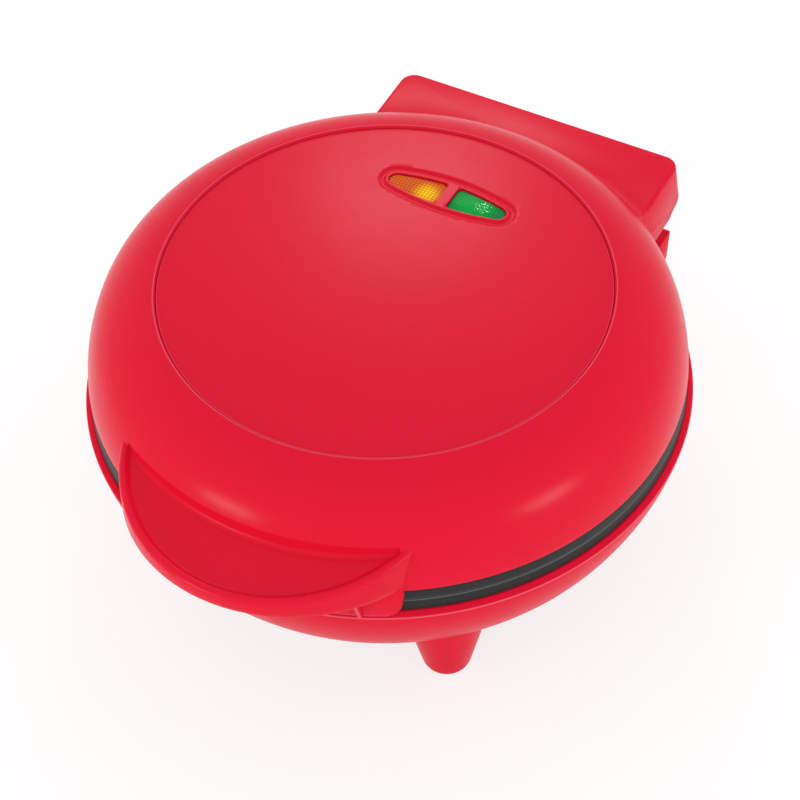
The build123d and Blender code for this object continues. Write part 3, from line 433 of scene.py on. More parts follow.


# mask of a painted highlight line along an edge at this radius and height
def paintedEdgeHighlight(tree, place, radius, level, reach):
    values = {"Radius": radius * mm, "Level": level * mm, "Reach": reach * mm}
    return useGroup(tree, "edge", place, **values).outputs["Mask"]


def bump(tree, shader, height, strength, distance):
    inputs = {"Height": height, "Strength": strength, "Distance": distance * mm}
    node = addNode(tree, "ShaderNodeBump", inputs)
    tree.links.new(node.outputs[0], shader.inputs["Normal"])


def mouldedPlastic(name, tones, roughness, depth, marks=0.05, grainSize=2400.0, edgeHighlights=None, **fixed):
    material, tree, shader, place = newMaterial(name, **fixed)
    grain = useGroup(tree, "grain", place, Grain_Size=grainSize)
    colour = blendColours(tree, grain.outputs["Shade"], *tones)
    # painted highlight lines along the listed edges, laid over the colour
    for edge in edgeHighlights["edges"] if edgeHighlights else ():
        colour = layOver(tree, paintedEdgeHighlight(tree, place, *edge), colour, edgeHighlights["colour"])
    tree.links.new(colour, shader.inputs["Base Color"])
    low, high = roughness - marks / 2, roughness + marks
    tree.links.new(mapRange(tree, grain.outputs["Marks"], 0, 1, low, high), shader.inputs["Roughness"])
    bump(tree, shader, grain.outputs["Height"], 0.6, depth)
    return material


def rolledMetal(name, tones, roughness, streak):
    material, tree, shader, place = newMaterial(name, Metallic=1.0)
    rolled = useGroup(tree, "rolled", place, Streak=streak)
    colour = blendColours(tree, rolled.outputs["Blotches"], *tones)
    tree.links.new(colour, shader.inputs["Base Color"])
    rough = mapRange(tree, rolled.outputs["Streaks"], 0.3, 0.7, roughness - 0.07, roughness + 0.09)
    tree.links.new(rough, shader.inputs["Roughness"])
    bump(tree, shader, rolled.outputs["Streaks"], 0.35, 0.02)
    return material


def coatedPlate(name, tones, fleck, edgeHighlights):
    material, tree, shader, place = newMaterial(name, Specular_IOR_Level=0.16)
    spray = useGroup(tree, "speckle", place)
    ground = blendColours(tree, spray.outputs["Wear"], *tones)
    # painted highlight lines along the listed edges, in a lighter colour over the coating
    masks = [paintedEdgeHighlight(tree, place, *edge) for edge in edgeHighlights["edges"]]
    ground = layOver(tree, mathNode(tree, "MAXIMUM", *masks), ground, edgeHighlights["colour"])
    colour = layOver(tree, spray.outputs["Flecks"], ground, fleck)
    tree.links.new(colour, shader.inputs["Base Color"])
    rough = mapRange(tree, spray.outputs["Wear"], 0.3, 0.7, 0.38, 0.52)
    tree.links.new(rough, shader.inputs["Roughness"])
    bump(tree, shader, spray.outputs["Height"], 0.5, 0.03)
    return material


def lensPlastic(name, look):
    # clear coloured moulding: its colour painted lighter round the lamp behind it and shaded facet by
    # facet, a painted glow of that lamp and painted glints in the emission, ridge lines on top
    material, tree, shader, place = newMaterial(name, IOR=1.2, Specular_IOR_Level=0.25)
    spots = {"Lamp": at(*look["lamp"]), "Grid": at(*look["grid"]), "Glint": at(*look["glint"])}
    reaches = {"Reach": look["reach"] * mm, "Grid_Reach": look["gridReach"] * mm}
    reaches["Glint_Reach"] = look["glintReach"] * mm
    prism = useGroup(tree, "prism", place, Pitch=look["pitch"] * mm, **spots, **reaches).outputs
    # the colour is painted lighter by the facet shade and round the lamp's glow
    facets = mathNode(tree, "MULTIPLY", prism["Facet Shade"], 0.6)
    shade = mathNode(tree, "ADD", facets, prism["Glow"], clamp=True)
    ground = blendColours(tree, shade, look["deep"], look["body"])
    lines = mathNode(tree, "MULTIPLY", prism["Lines"], look["lineShare"])
    tree.links.new(layOver(tree, lines, ground, look["line"]), shader.inputs["Base Color"])
    # the painted glow of the lamp behind the lens, shaded by facet and dimmed on the ridge lines, in
    # the emission
    facets = mapRange(tree, prism["Facet Shade"], 0, 1, 0.45, 1.0)
    lit = mathNode(tree, "MULTIPLY", prism["Glow"], facets)
    lit = mathNode(tree, "MULTIPLY", lit, mapRange(tree, prism["Lines"], 0, 1, 1.0, 0.3))
    glow = blendColours(tree, lit, (0, 0, 0), look["paintedGlowColour"])
    # painted glints laid on the emission in near white
    flash = layOver(tree, prism["Glints"], glow, (0.9, 0.95, 0.85))
    tree.links.new(flash, shader.inputs["Emission Color"])
    shader.inputs["Emission Strength"].default_value = 1.0
    shader.inputs["Roughness"].default_value = 0.2
    bump(tree, shader, prism["Height"], 0.5, 0.2)
    return material


redTones = ((0.765, 0.0055, 0.030), (0.795, 0.0075, 0.035))
blackTones = ((0.012, 0.012, 0.013), (0.022, 0.022, 0.023))
ceramicTones = ((0.72, 0.70, 0.64), (0.80, 0.78, 0.72))
sleeveTones = ((0.45, 0.44, 0.40), (0.62, 0.60, 0.55))
glassTones = ((0.85, 0.62, 0.40), (0.95, 0.75, 0.50))
coatTones = ((0.013, 0.017, 0.016), (0.022, 0.027, 0.025))
steelTones = ((0.50, 0.50, 0.50), (0.62, 0.62, 0.61))
shieldTones = ((0.58, 0.59, 0.60), (0.72, 0.73, 0.73))
screwTones = ((0.42, 0.41, 0.39), (0.60, 0.58, 0.54))
pinTones = ((0.50, 0.50, 0.49), (0.64, 0.63, 0.61))
sheathTones = ((0.30, 0.27, 0.24), (0.44, 0.40, 0.36))

# painted edge highlights as (radius, height, reach): thin lighter lines laid on the colour along crests
# and flange edges
lidEdgeHighlights = {"colour": (0.84, 0.105, 0.155)}
lidEdgeHighlights["edges"] = [(72.35, 108.55, 0.42), (71.5, 107.6, 0.3), (97.75, 65.05, 0.45)]
baseEdgeHighlights = {"colour": (0.84, 0.10, 0.15), "edges": [(98.0, 63.9, 0.5)]}
plateEdgeHighlights = {"colour": (0.10, 0.11, 0.105), "edges": [(95.9, 69.95, 0.55), (95.9, 70.45, 0.55)]}

redShell = mouldedPlastic("redShell", redTones, 0.27, 0.010, 0.015, edgeHighlights=lidEdgeHighlights, IOR=1.19)
redBase = mouldedPlastic("redBase", redTones, 0.30, 0.010, 0.015, edgeHighlights=baseEdgeHighlights, IOR=1.09)
blackPlastic = mouldedPlastic("blackPlastic", blackTones, 0.42, 0.03)
ceramicBody = mouldedPlastic("ceramicBody", ceramicTones, 0.3, 0.02, 0.08, 1200.0)
leadSleeve = mouldedPlastic("leadSleeve", sleeveTones, 0.75, 0.08, 0.1, 3200.0)
lampGlass = mouldedPlastic("lampGlass", glassTones, 0.08, 0.004, 0.02)
plateCoating = coatedPlate("plateCoating", coatTones, (0.11, 0.12, 0.115), plateEdgeHighlights)
steelSheet = rolledMetal("steelSheet", steelTones, 0.33, (60.0, 1500.0, 1500.0))
shieldSheet = rolledMetal("shieldSheet", shieldTones, 0.38, (1300.0, 50.0, 1300.0))
screwSteel = rolledMetal("screwSteel", screwTones, 0.3, (900.0, 900.0, 200.0))
pinSteel = rolledMetal("pinSteel", pinTones, 0.28, (2500.0, 120.0, 120.0))
sheathSteel = rolledMetal("sheathSteel", sheathTones, 0.42, (300.0, 300.0, 1500.0))

# each lens: paintedGlowColour is its painted lamp glow, lamp and glint are where the painted glow and
# painted glints sit
amberLook = {"deep": (0.78, 0.11, 0.02), "body": (0.88, 0.21, 0.01), "paintedGlowColour": (0.40, 0.60, 0.0)}
amberLook.update({"line": (0.30, 0.02, 0.004), "lineShare": 0.75, "pitch": 1.15})
amberLook.update({"lamp": (-6.6, 41.4, 108.3), "reach": 6.0})
amberLook.update({"grid": (-11.0, 42.9, 108.9), "gridReach": 22.0})
amberLook.update({"glint": (-9.0, 39.0, 108.6), "glintReach": 0.1})
amberPlastic = lensPlastic("amberPlastic", amberLook)
greenLook = {"deep": (0.0, 0.16, 0.035), "body": (0.0, 0.37, 0.055), "paintedGlowColour": (0.0, 0.04, 0.005)}
greenLook.update({"line": (0.12, 0.42, 0.16), "lineShare": 0.6, "pitch": 1.15})
greenLook.update({"lamp": (9.5, 43.5, 108.6), "reach": 11.0})
greenLook.update({"grid": (4.8, 46.6, 108.3), "gridReach": 6.0})
greenLook.update({"glint": (12.6, 43.6, 108.2), "glintReach": 3.4})
greenPlastic = lensPlastic("greenPlastic", greenLook)

print("lid dome")
lidShape = {"edgeRadius": 96.0, "edge": 74.4, "sideCurve": 47.0, "sideAngle": 21.3}
lidShape.update({"shoulderCurve": 27.8, "shoulderAngle": 78.2, "wall": 2.4})
lidShape.update({"opening": 71.81, "openingEdge": 107.45, "edgeRound": 0.25, "crestRound": 0.75})
lidShape.update({"recess": 103.9, "ceiling": 101.5, "ringWall": 74.2, "seatRing": 30})
lampSlot = {"half": 16.0, "end": 12.0, "y": 42.9}  # the hole for the lamps, under the disc
sideCentre = (lidShape["edgeRadius"] - lidShape["sideCurve"], lidShape["edge"])
bend = math.radians(lidShape["sideAngle"])
slack = lidShape["sideCurve"] - lidShape["shoulderCurve"]
shoulderCentre = (sideCentre[0] + slack * math.cos(bend), sideCentre[1] + slack * math.sin(bend))


def domeProfile(inset, endAngle):
    side = arcPoints(sideCentre, lidShape["sideCurve"] - inset, 0, lidShape["sideAngle"], 14)
    curve = lidShape["shoulderCurve"] - inset
    shoulder = arcPoints(shoulderCentre, curve, lidShape["sideAngle"], endAngle, 26)
    return side + shoulder[1:]


def makeDome():
    s = lidShape
    crest = arcPoints(shoulderCentre, s["shoulderCurve"], s["shoulderAngle"], s["shoulderAngle"], 1)[0]
    outside = domeProfile(0, s["shoulderAngle"] - 1.0)
    innerCurve = s["shoulderCurve"] - s["wall"]
    innerEnd = math.degrees(math.acos((s["ringWall"] - shoulderCentre[0]) / innerCurve))
    inside = domeProfile(s["wall"], innerEnd)
    corners = [(0, s["recess"]), (s["seatRing"], s["recess"]), (s["opening"], s["recess"])]
    corners += [(s["opening"], s["openingEdge"], s["edgeRound"]), (*crest, s["crestRound"])]
    corners += outside[::-1][:-1]
    corners += [(s["edgeRadius"], s["edge"], 0.45), (s["edgeRadius"] - s["wall"], s["edge"], 0.3)]
    corners += inside[1:]
    corners += [(s["ringWall"], s["ceiling"]), (s["seatRing"], s["ceiling"]), (0, s["ceiling"])]
    dome = spinProfile("lidDome", roundedPath(corners), steps=256)
    half, end, y = lampSlot["half"], lampSlot["end"], lampSlot["y"]
    slot = arcPoints((half, y), end, -90, 90, 16) + arcPoints((-half, y), end, 90, 270, 16)
    carve(dome, prism("slotTool", slot, "Z", s["ceiling"] - 1, s["recess"] + 1))
    return dome


def domeCore(name, depth=1.2):
    # the solid up to a depth inside the dome's wall, which cuts what is joined to its outside
    middle = domeProfile(depth, 70)
    edge = (middle[0][0], lidShape["edge"] - 3)
    return spinProfile(name, [(0, edge[1]), edge] + middle + [(0, middle[-1][1])], steps=256)


lidDome = makeDome()

print("disc and lamp window")
discShape = {"radius": 71.69, "edge": 107.498, "apex": 109.998, "crown": 1023.7, "bottom": 104.0}
discShape.update({"wall": 2.4, "skin": 2.2, "rounding": 0.55})
windowShape = {"y": 42.9, "endX": 18.0, "endRadius": 6.0, "sideRadius": 74.7, "sideDrop": 66.3}
windowShape.update({"halfBridge": 1.8, "opening": 3.15})
# sections as (distance inside the outline, height over the crown)
grooveSection = [(-0.5, 0.6), (-0.5, 0.03), (-0.28, -0.03), (-0.05, -0.14), (0.15, -0.32)]
grooveSection += [(0.35, -0.52), (0.65, -0.70), (1.17, -0.80), (1.65, -0.70), (1.95, -0.52)]
grooveSection += [(2.12, -0.32), (2.3, -0.14), (2.47, -0.03), (2.58, 0.03), (2.58, 0.6)]
openingSection = [(-0.2, 0.6), (-0.2, 0.03), (-0.1, -0.04), (0, -0.14), (0, -4)]
windowTilt = math.asin(windowShape["y"] / discShape["crown"])
windowHeight = discShape["apex"] - discShape["crown"] * (1 - math.cos(windowTilt))


def crownHeight(r, depth=0):
    crown = discShape["crown"]
    return discShape["apex"] - crown + math.sqrt((crown - depth) ** 2 - r * r)


def windowPoint(u, v, w, follow):
    # u and v lie in the window, w stands out of it, along the crown or along the window's flat
    bulge = -(u * u + v * v) / 2 / discShape["crown"] if follow else 0
    c, s = math.cos(windowTilt), math.sin(windowTilt)
    w += bulge
    return at(u, windowShape["y"] + v * c + w * s, windowHeight - v * s + w * c)


def windowLoop(outline, w, follow=True):
    return [windowPoint(u, v, w, follow) for u, v in outline]


def ovalOutline(inset):
    s = windowShape
    gamma = math.degrees(math.atan2(s["sideDrop"], s["endX"]))
    end, side = s["endRadius"] - inset, s["sideRadius"] - inset
    points = arcPoints((s["endX"], 0), end, -gamma, gamma, 16)[:-1]
    points += arcPoints((0, -s["sideDrop"]), side, gamma, 180 - gamma, 20)[:-1]
    points += arcPoints((-s["endX"], 0), end, 180 - gamma, 180 + gamma, 16)[:-1]
    points += arcPoints((0, s["sideDrop"]), side, 180 + gamma, 360 - gamma, 20)[:-1]
    return points


def lensOutline(grow, side, corner=1.6):
    # half of the oval beside the bridge; grow is how far its edge stands inside the opening
    s = windowShape
    inset = s["opening"] + grow
    x0 = s["halfBridge"] + grow
    radius = s["sideRadius"] - inset
    gamma = math.degrees(math.atan2(s["sideDrop"], s["endX"]))
    startX = x0 + 2.0
    startAngle = math.degrees(math.acos(startX / radius))
    top = -s["sideDrop"] + math.sqrt(radius * radius - x0 * x0)
    corners = [(x0, -top, corner)]
    corners += [(x, -y) for x, y in arcPoints((0, -s["sideDrop"]), radius, startAngle, gamma, 10)]
    corners += arcPoints((s["endX"], 0), s["endRadius"] - inset, -gamma, gamma, 14)[1:-1]
    corners += arcPoints((0, -s["sideDrop"]), radius, gamma, startAngle, 10)
    corners += [(x0, top, corner)]
    path = roundedPath(corners, closed=True)
    return [(side * x, y) for x, y in path]


def makeDisc():
    s = discShape
    radii = [s["radius"] * k / 26 for k in range(25)] + [s["radius"] - 1.6]
    corners = [(r, crownHeight(r)) for r in radii] + [(s["radius"], s["edge"], s["rounding"])]
    inner = s["radius"] - s["wall"]
    corners += [(s["radius"], s["bottom"]), (inner, s["bottom"])]
    corners += [(r, crownHeight(r, s["skin"])) for r in (inner, 40, 0)]
    disc = spinProfile("lidDisc", roundedPath(corners), steps=256)
    loops = [windowLoop(ovalOutline(inset), w) for inset, w in grooveSection]
    carve(disc, ringStack("grooveTool", loops, ring=True))
    for side in (1, -1):
        loops = [windowLoop(lensOutline(grow, side), w) for grow, w in openingSection]
        carve(disc, ringStack("openingTool", loops))
    dressLid(disc, ["lid_disc"], 28)


lensShape = {"side": ((0.15, -5.0), (0.15, -1.15), (0.2, -0.95), (0.35, -0.85)), "crown": 0.22}
lensShape.update({"rings": (0.9, 0.75, 0.55, 0.35, 0.15), "flange": (-3.55, -2.55)})
lensShape.update({"flangeGrow": -1.2, "flangeCorner": 2.2})


def makeLens(name, side, material, node):
    s = lensShape
    loops = [windowLoop(lensOutline(grow, side), w, False) for grow, w in s["side"]]
    edge, top = s["side"][-1]
    rim = lensOutline(edge, side)
    middle = sum(p[0] for p in rim) / len(rim)
    for share in s["rings"]:
        lift = top + s["crown"] * (1 - share * share)
        ring = [(middle + (u - middle) * share, v * share) for u, v in rim]
        loops.append(windowLoop(ring, lift, False))
    lens = ringStack(name, loops)
    outline = lensOutline(s["flangeGrow"], side, s["flangeCorner"])
    flange = [windowLoop(outline, w, False) for w in s["flange"]]
    lens = joinPieces([lens, ringStack("lensFlange", flange)])
    dress(lens, material, "lid", [node], 30)


makeDisc()
makeLens("amberLens", -1, amberPlastic, "amber_lens")
makeLens("greenLens", 1, greenPlastic, "green_lens")

print("handle")
handleShape = {"centre": -62.0, "radius": 53.0, "height": 93.1, "slope": 9.7}
handleShape.update({"floor": 78.5, "floorSlope": 4.4, "flat": (20, 38), "wall": 2.4})
handleShape.update({"lipInner": 49.0, "lipOuter": 51.4, "dish": 1.4, "rounding": 1.6, "sink": 2.2})
rootShape = {"crease": 91.4, "fillet": 1.8, "reach": 50.4, "start": 234, "turn": 72, "outside": 100}


def handleLoop(radius, drop=None, lift=None, steps=256):
    # drop is measured down from the sloping top, lift up from the handle's lower edge
    s = handleShape
    front = s["centre"] - s["radius"]
    loop = []
    for i in range(steps):
        a = 2 * math.pi * i / steps
        y = s["centre"] + radius * math.sin(a)
        if drop is not None:
            z = s["height"] + math.tan(math.radians(s["slope"])) * (y - s["centre"]) - drop
        else:
            z = s["floor"] - math.tan(math.radians(s["floorSlope"])) * (y - front) + lift
        loop.append(at(radius * math.cos(a), y, z))
    return loop


def makeHandle():
    s = handleShape
    r, inner = s["radius"], s["radius"] - s["wall"]
    lipWidth = s["lipOuter"] - s["lipInner"]
    top = [(radius, s["dish"]) for radius in s["flat"]]
    for k in range(10):
        t = k / 9
        top.append((s["lipInner"] + lipWidth * t, s["dish"] * (1 - t * t * (3 - 2 * t))))
    for k in range(1, 8):
        a = math.radians(90 * k / 7)
        top.append((r - s["rounding"] * (1 - math.sin(a)), s["rounding"] * (1 - math.cos(a))))
    loops = [handleLoop(radius, drop=drop) for radius, drop in top]
    edge = [(r, 2.0), (r, 0.6), (r - 0.15, 0.2), (r - 0.55, 0), (inner + 0.5, 0), (inner, 0.5)]
    loops += [handleLoop(radius, lift=lift) for radius, lift in edge + [(inner, 2.0)]]
    under = s["dish"] + s["wall"]
    below = [(inner, under + 1.2), (inner - 0.4, under + 0.3)]
    below += [(radius, under) for radius in (inner - 1.3, *s["flat"][::-1])]
    loops += [handleLoop(radius, drop=drop) for radius, drop in below]
    handle = ringStack("handle", loops)
    carve(handle, domeCore("domeTool", s["sink"]))
    dressLid(handle)


def cutRoot(dome):
    # the dish runs a little way into the dome, which leaves an upright step under a crease
    s, root = handleShape, rootShape
    rise = root["crease"] - lidShape["edge"]
    wall = sideCentre[0] + math.sqrt(lidShape["sideCurve"] ** 2 - rise**2)
    lean = math.tan(math.radians(s["slope"]))
    reach, clear, outside, top = root["fillet"], 0.03, root["outside"], root["crease"] + 3
    loops = []
    for k in range(121):
        a = math.radians(root["start"] + root["turn"] * k / 120)

        def dishHeight(r):
            return s["height"] - s["dish"] + lean * (r * math.sin(a) - s["centre"])

        foot, end = dishHeight(wall), dishHeight(wall + reach) - clear
        section = [(wall, top)]
        for i in range(9):
            t = i / 8
            z = (1 - t) ** 2 * (foot + reach) + 2 * t * (1 - t) * foot + t * t * end
            section.append((wall + reach * t * t, z))
        section += [(outside, dishHeight(outside) - clear), (outside, top)]
        loops.append([at(r * math.cos(a), r * math.sin(a), z) for r, z in section])
    tool = ringStack("rootTool", loops)
    sides = [handleLoop(root["reach"], drop=drop, steps=192) for drop in (s["dish"] + 2, -12)]
    carve(tool, ringStack("dishTool", sides), "INTERSECT")
    carve(dome, tool)
    dressLid(dome, smooth=12)


makeHandle()
cutRoot(lidDome)

print("front skirt")
skirtShape = {"inner": 96.35, "outer": 97.8, "low": 66.35, "toe": 64.9, "halfWidth": 49.4}
skirtShape.update({"corner": 4.5, "side": [(0, 74.0, 3), (-1.5, 79.0, 3), (-8, 83)]})
# the tab's face, from the toe to where it lies flush with the dome, and back inside
skirtFace = [(97.72, 72.5), (97.45, 75.0), (97.0, 77.2), (96.35, 79.2), (95.4, 81.4), (93.6, 82.4)]
skirtFace += [(93.6, 75.4)]
gussetShape = {"x": (28.0, 38.0), "half": 0.8, "sink": 0.6, "top": 84.0, "reach": 6.95}
gussetShape.update({"shoulder": 82.5, "toe": 1.9, "bottom": 65.4})


def makeSkirt():
    s = skirtShape
    ring = [(s["inner"], s["low"]), (s["outer"] - 0.4, s["toe"]), (s["outer"], s["toe"] + 0.1)]
    ring += [(s["outer"], 70.0)] + skirtFace + [(s["inner"], 74.6), (s["inner"], s["low"])]
    skirt = spinProfile("frontSkirt", ring, steps=320)
    half = s["halfWidth"]
    low = s["toe"] - 0.02
    outline = [(-half + 1.0, low, s["corner"]), (half - 1.0, low, s["corner"])]
    outline += [(half + x, z, *rounding) for x, z, *rounding in s["side"]]
    outline += [(-half - x, z, *rounding) for x, z, *rounding in s["side"][::-1]]
    tool = prism("skirtTool", roundedPath(outline, 8, closed=True), "Y", -110, -40)
    carve(skirt, tool, "INTERSECT")
    softenEdges(skirt, 0.35, 3, 50)
    dressLid(skirt)


def makeGussets():
    s = gussetShape
    made = []
    for x in s["x"]:
        root = -math.sqrt((skirtShape["outer"] - s["sink"]) ** 2 - x * x)
        front = root - s["reach"]
        outline = [(root, s["top"]), (front, s["top"]), (front, s["shoulder"], 1.0)]
        outline += [(root - s["toe"], s["bottom"], 0.6), (root, s["bottom"])]
        made.append(prism("gusset", roundedPath(outline, 3), "X", x - s["half"], x + s["half"]))
    gussets = joinPieces(made)
    gussets.name = "gussets"
    softenEdges(gussets, 0.25, 2, 50)
    gussets = joinPieces([gussets, copyPiece(gussets, "gussetTwin", (-1, 1, 1))])
    dressLid(gussets)


makeSkirt()
makeGussets()

print("hinge block")
blockShape = {"half": 51.4, "lean": 0.12, "front": 60.0, "rear": 113.0, "top": 86.1, "low": 60.0}
blockShape.update({"corner": 5.0, "topRound": 1.0, "wall": 2.4, "blend": 8.0})
blockShape.update({"notchHalf": 13, "notchTop": 78, "notchRound": 2.0, "notchFront": 104})
# what is cut away below, as (y, z, rounding)
blockBelow = [(40, 50), (40, 74.5), (83.0, 74.5, 0.8), (86.0, 69.6, 0.8), (101.4, 69.6, 0.8)]
blockBelow += [(103.4, 70.6, 0.8), (107.4, 71.4, 0.8), (112.8, 74.6, 1.2), (118, 74.6), (118, 50)]
hingeShape = {"y": 99.0, "z": 53.0, "bore": 4.05, "earRadius": 9.6, "earInner": 38.5}
hingeShape.update({"earSplit": 44.0, "earOuter": 51.0, "earTop": 57.2, "earRear": 108.3})
hingeShape.update({"armRadius": 7.5, "armFront": 4.4, "armTop": 84.9})
hingeShape.update({"armInner": 30.3, "armOuter": 38.2})


def boxLoop(half, front, rear, corner, z):
    corners = [(-half, front, 0.5), (half, front, 0.5), (half, rear, corner), (-half, rear, corner)]
    return [at(x, y, z) for x, y in roundedPath(corners, 10, closed=True)]


def blockHalf(z):
    # the sides lean outwards a little, downwards
    return blockShape["half"] + (blockShape["top"] - z) * blockShape["lean"]


def makeBlock():
    s = blockShape
    front, rear, top, wall = s["front"], s["rear"], s["top"], s["wall"]
    upright = (s["low"], top - s["topRound"])
    loops = [boxLoop(blockHalf(z), front, rear, s["corner"], z) for z in upright]
    for k in range(1, 6):
        a = math.radians(90 * k / 5)
        inset = s["topRound"] * (1 - math.cos(a))
        z = top - s["topRound"] * (1 - math.sin(a))
        loops.append(boxLoop(blockHalf(z) - inset, front + inset, rear - inset, s["corner"] - inset, z))
    block = ringStack("hingeBlock", loops)
    cavity = []
    for z in (50.0, top - wall):
        cavity.append(boxLoop(blockHalf(z) - wall, front + wall, rear - wall, s["corner"] - 1.5, z))
    carve(block, ringStack("cavityTool", cavity))
    carve(block, prism("belowTool", roundedPath(blockBelow, 4, closed=True), "X", -60, 60))
    half, height = s["notchHalf"], s["notchTop"]
    notch = [(-half, 50), (half, 50), (half, height, s["notchRound"]), (-half, height, s["notchRound"])]
    carve(block, prism("notchTool", roundedPath(notch, 6, closed=True), "Y", s["notchFront"], 120))
    carve(block, domeCore("domeTool"))
    softenEdges(block, 0.3, 2, 60)
    dressLid(block)


def makeBlockRoot():
    # soft blend from the dome's shoulder out onto the block's flat top
    s = blockShape
    rise = s["top"] + s["blend"] - shoulderCentre[1]
    reach = lidShape["shoulderCurve"] + s["blend"]
    centre = (shoulderCentre[0] + math.sqrt(reach**2 - rise**2), s["top"] + s["blend"])
    startAngle = 180 + math.degrees(math.asin(rise / reach))
    hollow = arcPoints(centre, s["blend"], startAngle, 270, 16)
    back = (hollow[0][0] - 1.6, hollow[0][1] - 0.6)
    low = s["top"] - 1.2
    profile = [back] + hollow + [(hollow[-1][0] + 0.6, low), (back[0], low), back]
    strip = spinProfile("blockRoot", profile, steps=320)
    loops = []
    for z in (70, 100):
        half = blockHalf(z) - 0.02
        loops.append([at(x, y, z) for x, y in ((-half, 40), (half, 40), (half, 118), (-half, 118))])
    carve(strip, ringStack("stripTool", loops), "INTERSECT")
    softenEdges(strip, 0.6, 3, 55)
    dressLid(strip)


def hingeBore(low, high):
    s = hingeShape
    outline = arcPoints((s["y"], s["z"]), s["bore"], 0, 360, 40)[:-1]
    return prism("boreTool", outline, "X", low, high)


def makeArms():
    s = hingeShape
    y, z, r, front = s["y"], s["z"], s["armRadius"], s["armFront"]
    start = math.degrees(math.acos(-front / r))
    outline = [(y + r, s["armTop"]), (y - front, s["armTop"])] + arcPoints((y, z), r, start, 360, 28)
    arm = prism("arm", outline, "X", s["armInner"], s["armOuter"])
    carve(arm, hingeBore(20, 50))
    softenEdges(arm, 0.5)
    arms = joinPieces([arm, copyPiece(arm, "armTwin", (-1, 1, 1))])
    arms.name = "hingeArms"
    dressLid(arms)


makeBlock()
makeBlockRoot()
makeArms()

print("base")
baseShape = {"rim": 98.0, "crest": 63.9, "seat": 65.2, "seatRadius": 96.2, "bottom": 33.5}
baseShape.update({"bottomRadius": 84.1, "corner": 6.0, "bulge": 1.8, "mount": 65.4})
baseShape.update({"floor": 35.9, "floorRadius": 82.8, "mouth": 93.4, "ring": 60})
mountShape = {"recess": 3.7, "shank": 2.2, "cup": 5.4, "low": 34, "head": 36.5, "high": 40}
footShape = {"end": 7.2, "root": 15.4, "rounding": 5.0, "height": 35.2, "x": 45.41, "y": 50.08}
inletShape = {"z": 48, "bore": 6.55, "root": 89.5, "end": 97.5, "radius": 10}
glandShape = {"bore": 3.6, "neck": 6.5, "flange": 8.6, "inside": 84.5, "back": 97.55, "face": 99.1}


def bulgedWall(low, high, bulge, count=18):
    start, end = Vector(low), Vector(high)
    chord = end - start
    radius = chord.length**2 / 8 / bulge + bulge / 2
    side = Vector((-chord.y, chord.x)).normalized()
    centre = (start + end) / 2 + side * (radius - bulge)
    a0 = math.degrees(math.atan2(start.y - centre.y, start.x - centre.x))
    a1 = math.degrees(math.atan2(end.y - centre.y, end.x - centre.x))
    return arcPoints(centre, radius, a0, a1, count)


def makeBowl():
    s, m = baseShape, mountShape
    outside = bulgedWall((s["bottomRadius"], s["bottom"]), (s["rim"], s["crest"]), s["bulge"])
    inside = bulgedWall((s["floorRadius"], s["floor"]), (s["mouth"], s["seat"]), s["bulge"])
    corners = [(0, s["bottom"]), (s["ring"], s["bottom"]), (*outside[0], s["corner"])] + outside[4:-1]
    corners += [(s["rim"], s["crest"], 0.5), (s["seatRadius"], s["seat"], 0.35)]
    corners += [(s["mouth"], s["seat"], 0.3)] + inside[::-1][1:]
    corners += [(s["ring"], s["floor"]), (0, s["floor"])]
    bowl = spinProfile("baseBowl", roundedPath(corners, 6), steps=256)
    turns = [turn * math.pi / 2 for turn in range(4)]
    mounts = [(s["mount"] * math.cos(a), s["mount"] * math.sin(a), 0) for a in turns]
    recess = [(0, 30), (m["recess"], 30), (m["recess"], m["high"]), (0, m["high"])]
    for place in mounts:
        carve(bowl, spinProfile("recessTool", recess, place, steps=40))
    inlet = [(0, 80), (inletShape["bore"], 80), (inletShape["bore"], 110), (0, 110)]
    carve(bowl, spinProfile("inletTool", inlet, (0, 0, inletShape["z"]), "Y", 48))
    cup = [(m["recess"], m["low"]), (m["recess"], m["head"]), (m["shank"], m["head"])]
    cup += [(m["shank"], m["high"]), (m["cup"], m["high"]), (m["cup"], m["low"]), cup[0]]
    bowl = joinPieces([bowl] + [spinProfile("cup", cup, place, steps=40) for place in mounts])
    dressBase(bowl)


def bowlCore(name):
    # the solid up to the middle of the bowl's wall
    low, high = 34.7, baseShape["crest"]
    middle = bulgedWall((83.4, low), (96.7, high), baseShape["bulge"])
    return spinProfile(name, [(0, low)] + middle + [(0, high)], steps=256)


def makeFeet():
    s = footShape
    corners = [(0, 0), (s["end"], 0, s["rounding"]), (s["root"], s["height"]), (0, s["height"])]
    foot = spinProfile("feet", roundedPath(corners, 8), (s["x"], s["y"], 0), steps=96)
    carve(foot, bowlCore("bowlTool"))
    right = copyPiece(foot, "footTwin", (1, -1, 1))
    pair = joinPieces([foot, right])
    feet = joinPieces([pair, copyPiece(pair, "feetTwin", (-1, 1, 1))])
    dressBase(feet)


def makeEars():
    # a round knuckle for the pin on the inside, a flat-topped block on the outside
    s = hingeShape
    y, z, r, split = s["y"], s["z"], s["earRadius"], s["earSplit"]
    front, low = 70, z - r - 3
    knuckle = arcPoints((y, z), r, -82, 90, 24) + [(front, z + r), (front, low)]
    ear = prism("hingeEars", knuckle, "X", s["earInner"], split)
    outer = [(y - 2, z - r, 4), (106.0, 45.5, 2.5), (s["earRear"], s["earTop"], 0.5)]
    outer = roundedPath(outer + [(front, s["earTop"]), (front, low)], 6, closed=True)
    carve(ear, prism("outerTool", outer, "X", split - 0.3, s["earOuter"]), "UNION")
    carve(ear, bowlCore("bowlTool"))
    carve(ear, hingeBore(30, 41))
    softenEdges(ear, 0.4)
    ears = joinPieces([ear, copyPiece(ear, "earTwin", (-1, 1, 1))])
    dressBase(ears)


